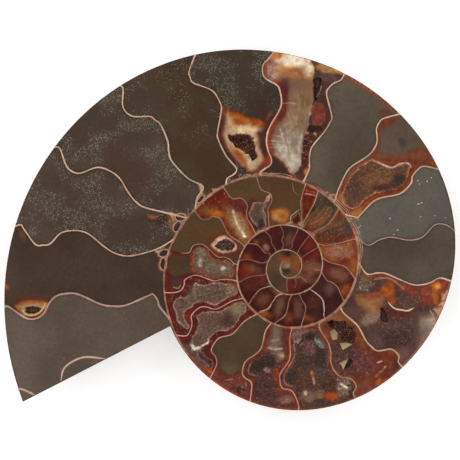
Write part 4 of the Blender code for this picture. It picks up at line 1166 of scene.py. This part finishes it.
def make_face_piece(name, loops, keep, grid, septa, chambers, material):
    """One closed piece of the cut face: painted top with sunk hollows, a low edge and a dished underside."""
    flat, faces = triangulate(loops, grid, keep)
    used = np.unique(faces)
    order = np.full(len(flat), -1)
    order[used] = np.arange(len(used))
    flat, faces = flat[used], order[faces]
    paint = FacePaint(flat, septa, chambers)
    paint_chambers(paint)
    depth = paint.depth * fade(distance_to(loops, flat), 0.3, 1.2)
    top = np.column_stack((flat, FACE - depth))
    under, under_faces = dish(loops, keep)
    start, first = len(top), 0
    all_faces = [tuple(f) for f in faces]
    all_faces += [tuple(start + k for k in f[::-1]) for f in under_faces]
    for loop in loops:
        for k in range(len(loop)):
            a, b = first + k, first + (k + 1) % len(loop)
            all_faces.append((a, start + a, start + b, b))
        first += len(loop)
    piece = make_object(name, np.concatenate((top, under)), all_faces, material)
    turn_out(piece)
    hidden = np.zeros((len(under), 3))
    add_colours(piece, "tint", np.concatenate((np.maximum(linear(paint.colour) - SHEEN, 0), hidden)))
    detail = np.column_stack((*(paint.detail[key] for key in FacePaint.DETAILS), np.zeros(len(flat))))
    add_colours(piece, "detail", np.concatenate((detail, hidden)))
    finish_piece(piece)
    return [(x, y, z - FACE) for x, y, z in top if z < FACE - 0.2]


def build_face(septa, chambers, material):
    """The polished face in two pieces, with many points where crystals show and few in plain mudstone."""
    outer, inner = outline_loop(0.35), inner_loop(0.3)
    walls = [curve for curve, _, _ in septa.values()]
    fine_names = [name for name in chambers if name not in PLAIN_CHAMBERS]

    def keep_outer(points):
        return inside(outer, points) & ~inside(inner, points)

    def keep_inner(points):
        return inside(inner, points)

    fine = hex_grid(outer.min(0), outer.max(0), FINE, 1)
    wanted = np.any([inside(chambers[name], fine) for name in fine_names], axis=0)
    wanted |= distance_to(walls, fine) < 0.8
    for (x, y), reach in FINE_SPOTS:
        wanted |= np.hypot(fine[:, 0] - x, fine[:, 1] - y) < reach
    coarse = hex_grid(outer.min(0), outer.max(0), COARSE, 2)
    apart = distance_to([fine[wanted]], coarse) > COARSE * 0.7
    grid = np.concatenate((fine[wanted], coarse[apart]))
    sunk = []
    for name, loops, keep in (("outer_whorl_face", [outer, inner], keep_outer),
                              ("inner_whorls_face", [inner], keep_inner)):
        points = grid[keep(grid)]
        sunk += make_face_piece(name, loops, keep, clear_of(loops, points, 0.15), septa, chambers, material)
    tree = KDTree(len(sunk))
    for index, (x, y, _) in enumerate(sunk):
        tree.insert((x, y, 0), index)
    tree.balance()
    return tree, [level for _, _, level in sunk]


# ----------------------------------------------------------------------------- natural back


def flank_profile(ratio):
    """Thickness of a whorl's flank by the place across it, from 1 at its rim, as in the CAD."""
    crest = np.clip((ratio - CREST) / (1 - CREST), 0, 1)
    outside = np.clip(1 - crest**1.9, 0, 1) ** 0.62
    shoulder = 1 - 0.10 * np.clip((CREST - ratio) / (CREST - SHOULDER), 0, 1) ** 2
    seam = 0.9 * fade(ratio, SEAM, SHOULDER)
    return np.where(ratio >= CREST, outside, np.where(ratio >= SHOULDER, shoulder, seam))


def back_depth(angle, radius, blend=True):
    """Depth of the natural back below the cut face, at an angle of the outer turn and a radius."""
    depth = np.zeros(np.broadcast(angle, radius).shape)
    for turn in range(0, 5):
        depth = np.maximum(depth, whorl_depth(angle, radius, turn))
    if blend:
        last = whorl_depth(angle, radius, -1)
        depth += np.maximum(0, last - depth) * fade(angle, TURN - MOUTH_BLEND, TURN)
    depth = np.maximum(depth, CORE_DEPTH * np.minimum(1, rim_radius(angle) / radius - 1))
    depth = np.maximum(depth, SAW_EDGE)
    worn = np.minimum(depth, TOP + WEAR)
    return np.where(depth > TOP - WEAR, worn - (worn - TOP + WEAR) ** 2 / (4 * WEAR), depth)


def whorl_depth(angle, radius, turn):
    """Depth of the flank of one whorl, turns inwards from the outermost."""
    half_width = HALF_WIDTH * np.exp(-WIDTH_DECAY * (np.radians(angle) + 2 * math.pi * turn) ** 2)
    return half_width * flank_profile(radius / (rim_radius(angle) * WHORL_RATIO**turn))


def rib_relief(angle, radius):
    """Depth of the faint sickle-shaped ribs, which fade towards the centre."""
    turns_in = np.log(np.maximum(radius / rim_radius(angle), 1e-3)) / math.log(WHORL_RATIO)
    across = turns_in - np.floor(turns_in)
    phase = RIBS_PER_TURN * angle / TURN + 1.6 * np.sin(math.pi * across) - 2.2 * across
    fading = np.exp(-0.9 * turns_in) * fade(turns_in, 0.0, 0.12)
    return RIB_DEPTH * (0.5 - 0.5 * np.cos(2 * math.pi * phase)) * fading


class Solid:
    """Vertices and faces of a piece, collected in steps."""

    def __init__(self):
        self.verts, self.faces = np.zeros((0, 3)), []

    def put(self, points, levels):
        """Add flat points at their heights; returns their numbers."""
        start = len(self.verts)
        self.verts = np.concatenate((self.verts, np.column_stack((points, levels))))
        return np.arange(start, start + len(points))


def back_surface(angles, shares):
    """Flat places and heights of the natural back, by angle and by share of the rim radius."""
    radius = rim_radius(angles)[:, None] * shares[None, :]
    around = np.broadcast_to(angles[:, None], radius.shape)
    depth = back_depth(around, radius)
    edge = slice(0, len(RIM_SHARES))
    depth[:, edge] = back_depth(around, radius, False)[:, edge]
    flat = polar(around, radius)
    lumps = noise(flat.reshape(-1, 2), 7.0, 500).reshape(depth.shape)
    relief = rib_relief(around, radius) + 0.25 * np.abs(lumps)
    relief *= fade(depth, 3.0, 6.0) * fade(TOP - depth, 0.0, 2.5)
    relief *= 1 - fade(around, TURN - MOUTH_BLEND, TURN - 0.5)
    return flat, np.maximum(TOP - depth + relief, 0.0)


def add_flanks(solid, angles, shares):
    """The back in spiral rings; returns its columns of points, and the rim's last column."""
    edge_rings, count = len(RIM_SHARES), len(RIM_SHARES) + RINGS
    flat, heights = back_surface(angles, shares)
    columns = [solid.put(flat[0], heights[0])]
    columns += [solid.put(flat[k, :count], heights[k, :count]) for k in range(1, SPOKES)]
    rim_end = solid.put(flat[-1, :edge_rings], heights[-1, :edge_rings])
    # The last column, a whole turn on, ends in rings of the first
    columns.append(np.concatenate((rim_end, columns[0][edge_rings + RINGS_PER_TURN:])))
    for near, far in zip(columns, columns[1:]):
        for k in range(count - 1):
            solid.faces.append((near[k], far[k], far[k + 1], near[k + 1]))
    core = [column[count - 1] for column in columns]
    solid.faces.append(tuple(core + list(columns[0][-2:count - 1:-1])))
    return columns, rim_end


def add_upper_side(solid, angles, shares, columns):
    """Hidden side under the face pieces; returns the points of its edge, round the rim and out the break."""
    edge_rings = len(RIM_SHARES)
    break_shares = shares[edge_rings:edge_rings + RINGS_PER_TURN][::-1][1:]
    rim_loop = polar(angles, rim_radius(angles))
    break_loop = polar(np.zeros(len(break_shares)), RIM_RADII[0] * break_shares)
    loop = np.concatenate((rim_loop, break_loop))

    def keep(points):
        return inside(loop, points)

    side, side_faces = dish([loop, inner_loop(1.0)], keep)
    top = solid.put(side[:, :2], side[:, 2] - BACK_GAP)
    solid.faces += [tuple(top[k] for k in f) for f in side_faces]
    for k in range(SPOKES):
        solid.faces.append((top[k], top[k + 1], columns[k + 1][0], columns[k][0]))
    return top[:len(loop)]


def add_broken_end(solid, ring):
    """The broken end at the mouth: a rough upright wall inside a closed ring of points."""
    placed = solid.verts[ring]
    upright = np.column_stack((np.hypot(placed[:, 0] - CENTRE[0], placed[:, 1] - CENTRE[1]), placed[:, 2]))

    def keep(points):
        return inside(upright, points)

    grid = hex_grid(upright.min(0), upright.max(0), 0.7, 9)
    wall, wall_faces = triangulate([upright], clear_of([upright], grid[keep(grid)], 0.3), keep)
    extra = wall[len(ring):]
    rough = 0.35 * np.abs(noise(extra, 4.0, 700))
    towards = math.radians(MOUTH - 90)
    spots = polar(np.zeros(len(extra)), extra[:, 0])
    spots += rough[:, None] * np.array((math.cos(towards), math.sin(towards)))
    order = np.concatenate((ring, solid.put(spots, extra[:, 1])))
    solid.faces += [tuple(order[k] for k in f) for f in wall_faces]


def build_back(material):
    """The natural outside: rounded rim, flanks of the whorls, umbilicus and the straight broken end."""
    angles = np.linspace(0, TURN, SPOKES + 1)
    inner_shares = WHORL_RATIO ** (np.arange(1, RINGS + RINGS_PER_TURN + 1) / RINGS_PER_TURN)
    shares = np.concatenate((RIM_SHARES, inner_shares))
    solid = Solid()
    columns, rim_end = add_flanks(solid, angles, shares)
    top = add_upper_side(solid, angles, shares, columns)
    bottom = columns[0][:len(RIM_SHARES) + RINGS_PER_TURN + 1]
    add_broken_end(solid, np.concatenate((bottom, rim_end[::-1], top[SPOKES:], top[:1])))
    piece = make_object("shell_back", solid.verts, solid.faces, material)
    turn_out(piece)
    finish_piece(piece, 40)


# ----------------------------------------------------------------------------- ribbons: septa and walls


def ribbon(points, width, height, closed=False):
    """Vertices and faces of a low rounded strip along a polyline; width may vary along it."""
    points = np.asarray(points)
    count = len(points)
    if closed:
        ahead = np.roll(points, -1, axis=0) - np.roll(points, 1, axis=0)
    else:
        ahead = np.gradient(points, axis=0)
    ahead /= np.hypot(*ahead.T)[:, None] + 1e-9
    side = np.stack((-ahead[:, 1], ahead[:, 0]), -1)
    half = np.broadcast_to(np.asarray(width, float) / 2, (count,))[:, None]
    section = ((-1, -0.35), (-1, 0.0), (-0.55, 0.8), (0, 1.0), (0.55, 0.8), (1, 0.0), (1, -0.35))
    levels = [up * height if up > 0 else up for _, up in section]
    verts = np.stack([np.column_stack((points + side * half * across, np.full(count, FACE + level)))
                      for (across, _), level in zip(section, levels)], 1)
    columns = len(section)
    faces = []
    for k in range(count if closed else count - 1):
        a, b = k * columns, (k + 1) % count * columns
        faces += [(a + j, a + (j + 1) % columns, b + (j + 1) % columns, b + j) for j in range(columns)]
    if not closed:
        faces.append(tuple(range(columns))[::-1])
        faces.append(tuple((count - 1) * columns + j for j in range(columns)))
    return verts.reshape(-1, 3), faces


class Strips:
    """Ribbons collected into one piece, with a colour at every point."""

    def __init__(self):
        self.verts, self.faces, self.colours, self.count = [], [], [], 0

    def add(self, points, width, colour, height=0.04, closed=False):
        """Add one ribbon; the colour is one for all points or one each."""
        verts, faces = ribbon(points, width, height, closed)
        self.verts.append(verts)
        self.faces += [tuple(self.count + k for k in f) for f in faces]
        colour = np.atleast_2d(colour)
        per_point = np.broadcast_to(colour, (len(points), 3))
        self.colours.append(np.repeat(per_point, len(verts) // len(points), axis=0))
        self.count += len(verts)

    def build(self, name, material):
        """Make the piece from all ribbons so far."""
        piece = make_object(name, np.concatenate(self.verts), self.faces, material)
        turn_out(piece)
        add_colours(piece, "tint", linear(np.concatenate(self.colours)))
        add_colours(piece, "detail", np.zeros((self.count, 3)))
        finish_piece(piece, 60)


def mixed(first, second, share):
    """Colours between two, at shares from 0 to 1."""
    return rgb(first) + (rgb(second) - rgb(first)) * np.asarray(share)[:, None]


def septum_look(name, outer_end):
    """Width and the two colours of a septum."""
    for numbers, *look in SEPTUM_LOOKS:
        if int(name[1:]) in numbers:
            return look
    return OUTER_LOOK if outer_end < TURN else INNER_LOOK


def add_septum(strips, name, number, curve, outer_end):
    """One septum, a little wider where it meets the walls."""
    thick, first, second = septum_look(name, outer_end)
    share = 0.5 + 0.5 * noise(curve, 4.0, 60 + number)
    along = np.concatenate(([0], np.cumsum(np.hypot(*np.diff(curve, axis=0).T))))
    end = np.minimum(along, along[-1] - along)
    width = thick * (1 + 0.3 * noise(curve, 1.8, 160 + number) + 0.6 * np.exp(-end / 0.5))
    seen = along >= HIDDEN_ENDS.get(name, 0.0)
    strips.add(curve[seen], width[seen], mixed(first, second, share[seen]))


def add_fragments(strips):
    for number, (points, width, colour) in enumerate(FRAGMENTS):
        curve = smooth_curve(points)
        place = np.linspace(0, 1, len(curve))
        taper = np.minimum(1, 0.35 + 4 * np.minimum(place, 1 - place))
        strips.add(curve, width * taper * (1 + 0.2 * noise(curve, 2.0, 260 + number)), rgb(colour))


def add_bubble_rims(strips):
    around = np.linspace(0, 2 * math.pi, 37)[:-1]
    for number, (at, size, turn) in enumerate(BUBBLES):
        c, s = math.cos(math.radians(turn)), math.sin(math.radians(turn))
        x, y = (size[0] + 0.15) * np.cos(around), (size[1] + 0.15) * np.sin(around)
        ring = np.stack((at[0] + x * c - y * s, at[1] + x * s + y * c), -1)
        strips.add(ring, 0.26 * (1 + 0.5 * noise(ring, 1.0, 280 + number)), rgb("#b08a72"), closed=True)


def add_flecks(strips):
    for at, half_length, width, turn in FLECKS:
        ahead = np.array((math.cos(math.radians(turn)), math.sin(math.radians(turn)))) * half_length
        ends = [np.array(at) + ahead * share for share in (-1, 0, 1)]
        strips.add(ends, width * np.array((0.4, 1.0, 0.5)), rgb("#c6c6ba"))


def build_septa(septa, material):
    """Every septum, broken pieces of others, the rims of the bubbles and the white flecks."""
    strips = Strips()
    for number, (name, (curve, outer_end, _)) in enumerate(septa.items()):
        add_septum(strips, name, number, curve, outer_end)
    add_fragments(strips)
    add_bubble_rims(strips)
    add_flecks(strips)
    strips.build("septa", material)


class Crystals:
    """Small crystals collected into one piece, with a colour at every point."""

    def __init__(self):
        self.verts, self.faces, self.colours = [], [], []

    def add_prism(self, rings, colours):
        """Closed prism through two rings of corners, bottom first; returns the number of its first corner."""
        first, corners = len(self.verts), len(rings[0])
        self.verts += [*rings[0], *rings[1]]
        self.colours += colours
        self.faces.append(tuple(range(first, first + corners))[::-1])
        for k in range(corners):
            a, b = first + k, first + (k + 1) % corners
            self.faces.append((a, b, b + corners, a + corners))
        return first

    def grow(self, at, floor, size, tones, random):
        """One pointed crystal that leans a little, on the floor of a hollow but below the cut face."""
        radius = size * random.uniform(0.5, 1.1)
        height = min(radius * random.uniform(0.9, 1.8), -floor - 0.15)
        lean = random.uniform(-0.5, 0.5, 2) * radius
        corners = random.uniform(0, math.pi) + 2 * math.pi * np.arange(CRYSTAL_SIDES) / CRYSTAL_SIDES
        spokes = radius * np.stack((np.cos(corners), np.sin(corners)), -1)
        low = np.column_stack((at + spokes, np.full(CRYSTAL_SIDES, FACE + floor - 0.3)))
        shoulder = np.column_stack((at + 0.85 * spokes + lean * 0.5,
                                    np.full(CRYSTAL_SIDES, FACE + floor + 0.45 * height)))
        tone = mixed(*tones, [random.uniform()])[0]
        # The foot ring is coloured darker than the crystal's tone, a painted shade low in the hollow.
        first = self.add_prism((low, shoulder), [tone * 0.85] * CRYSTAL_SIDES + [tone] * CRYSTAL_SIDES)
        tip = len(self.verts)
        self.verts.append((*(at + lean), FACE + floor + height))
        # The tip is coloured lighter than the tone, a painted highlight.
        self.colours.append(np.minimum(tone * 1.15, 1))
        for k in range(CRYSTAL_SIDES):
            a, b = first + k, first + (k + 1) % CRYSTAL_SIDES
            self.faces.append((a + CRYSTAL_SIDES, b + CRYSTAL_SIDES, tip))

    def cut_through(self, outline, first_colour, last_colour):
        """One crystal that the saw cut through, almost level with the face."""
        rings = [[(x, y, level) for x, y in outline] for level in (FACE - 0.3, FACE + 0.03)]
        # Colours step from the first corner to the last: the crystal's own sand colour, with painted shade
        # darkening one side.
        colours = list(mixed(first_colour, last_colour, np.linspace(0, 1, len(outline))))
        first = self.add_prism(rings, 2 * colours)
        self.faces.append(tuple(range(first + len(outline), first + 2 * len(outline))))

    def build(self, name, material):
        piece = make_object(name, self.verts, self.faces, material)
        turn_out(piece)
        add_colours(piece, "tint", linear(np.array(self.colours)))
        add_colours(piece, "detail", np.zeros((len(self.verts), 3)))
        finish_piece(piece, 20)


def build_crystals(sunk, material):
    """Small crystals that stand on the floors and edges of the open hollows, and larger ones cut through."""
    random = np.random.default_rng(31)
    crystals = Crystals()
    for centre, reach, depth, count, size, tones in CRYSTAL_BEDS:
        for _ in range(count):
            at = np.array(centre) + random.uniform(-1, 1, 2) * reach
            floor = floor_at(sunk, at)
            if floor <= -0.35 * depth:
                crystals.grow(at, floor, size, tones, random)
    for outline, first_colour, last_colour in CUT_CRYSTALS:
        crystals.cut_through(outline, first_colour, last_colour)
    crystals.build("hollow_crystals", material)


def add_wall(strips):
    """The main wall, which is thinner and paler further in."""
    wall = wall_curve(WALL_START, SPIRAL_END, 0.2)
    angle = np.linspace(WALL_START, SPIRAL_END, len(wall))
    share = np.clip(0.55 + 0.3 * noise(wall, 3.0, 300) + 0.45 * noise(wall, 0.8, 302), 0, 1)[:, None]
    dark, pale = (np.stack([np.interp(angle, WALL_COLOURS_AT, [rgb(code)[k] for code in codes])
                            for k in range(3)], -1) for codes in WALL_COLOURS)
    width = np.interp(angle, *WALL_WIDTHS)
    strips.add(wall, width * (1 + 0.35 * noise(wall, 1.6, 301)), dark + (pale - dark) * share)


def add_second_wall(strips, start, end, away, thick):
    """A thin broken layer that runs outside the wall, tapered at both ends."""
    path = wall_curve(start, end, 0.2)
    outward = path - np.array(CENTRE)
    outward /= np.hypot(*outward.T)[:, None]
    path = path + outward * (away + 0.25 * noise(path, 3.0, 310))[:, None]
    place = np.linspace(0, 1, len(path))
    taper = np.minimum(1, 0.3 + 6 * np.minimum(place, 1 - place))
    width = thick * taper * (1 + 0.45 * noise(path, 1.2, 311))
    strips.add(path, width, mixed("#8a6450", "#b89478", 0.5 + 0.5 * noise(path, 2.0, 312)))


def build_wall(material):
    """The wall between whorls, with a second broken layer outside it in places."""
    strips = Strips()
    add_wall(strips)
    for layer in SECOND_WALL:
        add_second_wall(strips, *layer)
    strips.build("spiral_wall", material)


# ----------------------------------------------------------------------------- materials


class Nodes:
    """Small helper for building a material's node tree."""

    def __init__(self, name, roughness, specular=0.5):
        self.material = bpy.data.materials.new(name)
        self.material.use_nodes = True
        self.tree = self.material.node_tree
        self.shader = self.tree.nodes["Principled BSDF"]
        self.shader.inputs["Roughness"].default_value = roughness
        self.shader.inputs["Specular IOR Level"].default_value = specular
        self.place = self.add("ShaderNodeTexCoord").outputs["Object"]

    def add(self, kind, **settings):
        node = self.tree.nodes.new(kind)
        for key, value in settings.items():
            setattr(node, key, value)
        return node

    def link(self, source, target):
        self.tree.links.new(source, target)

    def feed(self, node, values):
        for key, value in values.items():
            if isinstance(value, bpy.types.NodeSocket):
                self.link(value, node.inputs[key])
            else:
                node.inputs[key].default_value = value
        return node

    def math(self, operation, first, second=0.0):
        node = self.add("ShaderNodeMath", operation=operation, use_clamp=False)
        return self.feed(node, {0: first, 1: second}).outputs[0]

    def noise(self, scale, detail=3.0, roughness=0.55):
        node = self.add("ShaderNodeTexNoise")
        self.feed(node, {"Vector": self.place, "Scale": scale, "Detail": detail, "Roughness": roughness})
        return node.outputs["Fac"]

    def voronoi(self, scale, feature="F1"):
        node = self.add("ShaderNodeTexVoronoi", feature=feature)
        self.feed(node, {"Vector": self.place, "Scale": scale})
        return node

    def ramp(self, value, low, high, start=0.0, end=1.0):
        node = self.add("ShaderNodeMapRange", clamp=True)
        self.feed(node, {"Value": value, "From Min": low, "From Max": high, "To Min": start, "To Max": end})
        return node.outputs[0]

    def mix(self, share, first, second, blend="MIX"):
        node = self.add("ShaderNodeMix", data_type="RGBA", blend_type=blend)
        self.feed(node, {0: share, 6: first, 7: second})
        return node.outputs[2]

    def scaled(self, colour, value):
        """A colour times a grey value."""
        node = self.add("ShaderNodeVectorMath", operation="SCALE")
        self.link(colour, node.inputs[0])
        self.feed(node, {"Scale": value})
        return node.outputs[0]

    def tone(self, voronoi):
        """A random grey value for each Voronoi cell."""
        split = self.add("ShaderNodeSeparateColor")
        self.link(voronoi.outputs["Color"], split.inputs[0])
        return split.outputs[0]

    def bump(self, height, strength, distance):
        node = self.add("ShaderNodeBump")
        self.feed(node, {"Height": height, "Strength": strength, "Distance": distance})
        self.link(node.outputs[0], self.shader.inputs["Normal"])


def flat_colour(code):
    """Shader colour of a code like #aabbcc."""
    return (*linear(rgb(code)), 1.0)


def face_material():
    """Polished stone: painted colour, mudstone specks and crystal grain."""
    m = Nodes("polished_section", 0.32, 0.22)
    tint = m.add("ShaderNodeAttribute", attribute_name="tint").outputs["Color"]
    detail = m.add("ShaderNodeSeparateColor")
    m.link(m.add("ShaderNodeAttribute", attribute_name="detail").outputs["Color"], detail.inputs[0])
    specks, druse = detail.outputs[:2]
    cloud = m.ramp(m.noise(900, 4.0), 0.3, 0.7, 0.88, 1.12)
    colour = m.scaled(tint, cloud)
    grain = m.voronoi(1700)
    fine_grain = m.voronoi(3300)
    grain_tone = m.math("MULTIPLY", m.ramp(m.tone(grain), 0.0, 1.0, 0.66, 1.36),
                        m.ramp(m.tone(fine_grain), 0.0, 1.0, 0.66, 1.36))
    colour = m.mix(druse, colour, m.scaled(colour, grain_tone))
    for size, strength in ((2000, 0.85), (3100, 0.7)):
        cell = m.voronoi(size)
        ragged = m.math("ADD", cell.outputs["Distance"], m.ramp(m.noise(5200, 2.0), 0.3, 0.7, -0.16, 0.16))
        dot = m.ramp(ragged, 0.1, 0.42, 1.0, 0.0)
        chosen = m.ramp(m.math("SUBTRACT", specks, m.tone(cell)), 0.0, 0.35)
        share = m.math("MULTIPLY", m.math("MULTIPLY", dot, chosen), strength)
        colour = m.mix(share, colour, flat_colour("#92907e"))
    m.link(colour, m.shader.inputs["Base Color"])
    rough = m.math("ADD", m.ramp(m.noise(300, 2.0), 0.3, 0.7, 0.22, 0.34), m.math("MULTIPLY", druse, 0.15))
    m.link(rough, m.shader.inputs["Roughness"])
    height = m.math("MULTIPLY", m.tone(grain), druse)
    m.bump(height, 0.5, 0.0002)
    return m.material


def line_material():
    """Shell that has turned to pale calcite, seen edge on in the septa and walls."""
    m = Nodes("shell_calcite", 0.35, 0.22)
    tint = m.add("ShaderNodeAttribute", attribute_name="tint").outputs["Color"]
    cloud = m.ramp(m.noise(2500, 3.0), 0.3, 0.7, 0.82, 1.12)
    m.link(m.scaled(tint, cloud), m.shader.inputs["Base Color"])
    m.bump(m.noise(4000, 2.0), 0.15, 0.00005)
    return m.material


def back_material():
    """Natural outside: worn brown shell and matrix with pale and rusty patches."""
    m = Nodes("natural_back", 0.6)
    broad = m.ramp(m.noise(45, 5.0, 0.6), 0.35, 0.65)
    colour = m.mix(broad, flat_colour("#61503f"), flat_colour("#876e54"))
    rust = m.ramp(m.noise(80, 4.0, 0.65), 0.52, 0.68)
    colour = m.mix(m.math("MULTIPLY", rust, 0.8), colour, flat_colour("#6a3520"))
    pale = m.ramp(m.noise(130, 5.0, 0.7), 0.6, 0.72)
    colour = m.mix(m.math("MULTIPLY", pale, 0.7), colour, flat_colour("#b9a58a"))
    fine = m.noise(1400, 3.0, 0.6)
    colour = m.scaled(colour, m.ramp(fine, 0.3, 0.7, 0.78, 1.15))
    m.link(colour, m.shader.inputs["Base Color"])
    m.bump(fine, 0.4, 0.0003)
    return m.material


# ----------------------------------------------------------------------------- stage


def area_light(name, at, size, power):
    """Square lamp that looks at the middle of the scene."""
    light = bpy.data.lights.new(name, "AREA")
    light.size = size
    light.energy = power
    light_object = bpy.data.objects.new(name, light)
    light_object.location = at
    light_object.rotation_euler = (-Vector(at)).to_track_quat("-Z", "Y").to_euler()
    bpy.context.scene.collection.objects.link(light_object)


def build_stage():
    """Pale floor, four lamps and soft light from all round."""
    bpy.ops.mesh.primitive_plane_add(size=6.0)
    floor = bpy.context.object
    floor.name = "floor"
    m = Nodes("pale_floor", 0.9, 0.1)
    tone = m.mix(m.noise(40, 2.0), flat_colour("#f6f6f6"), flat_colour("#fbfbfb"))
    m.link(tone, m.shader.inputs["Base Color"])
    m.shader.inputs["Emission Color"].default_value = (1, 1, 1, 1)
    m.shader.inputs["Emission Strength"].default_value = FLOOR_GLOW
    floor.data.materials.append(m.material)
    for name, x, y, power in STUDIO_LIGHTS:
        area_light(name, (x, y, LIGHT_HEIGHT), LIGHT_SIZE, power)
    world = bpy.data.worlds.new("studio")
    world.use_nodes = True
    world.node_tree.nodes["Background"].inputs[0].default_value = (1, 1, 1, 1)
    world.node_tree.nodes["Background"].inputs[1].default_value = SKY_LIGHT
    bpy.context.scene.world = world
    bpy.context.scene.view_settings.view_transform = "Standard"


def build_camera():
    """Camera straight above the cut face."""
    data = bpy.data.cameras.new("camera")
    data.lens = 85
    camera = bpy.data.objects.new("camera", data)
    distance = VIEW_WIDTH * data.lens / data.sensor_width
    camera.location = (0, 0, TOP * MM + distance)
    bpy.context.scene.collection.objects.link(camera)
    bpy.context.scene.camera = camera


# ----------------------------------------------------------------------------- the whole thing

septa = {name: trimmed_septum(points) for name, points in SEPTA.items()}
chambers = chamber_outlines(septa)
stone = face_material()
calcite = line_material()
sunk_floors = build_face(septa, chambers, stone)
build_crystals(sunk_floors, calcite)
build_septa(septa, calcite)
build_wall(calcite)
build_back(back_material())
build_stage()
build_camera()
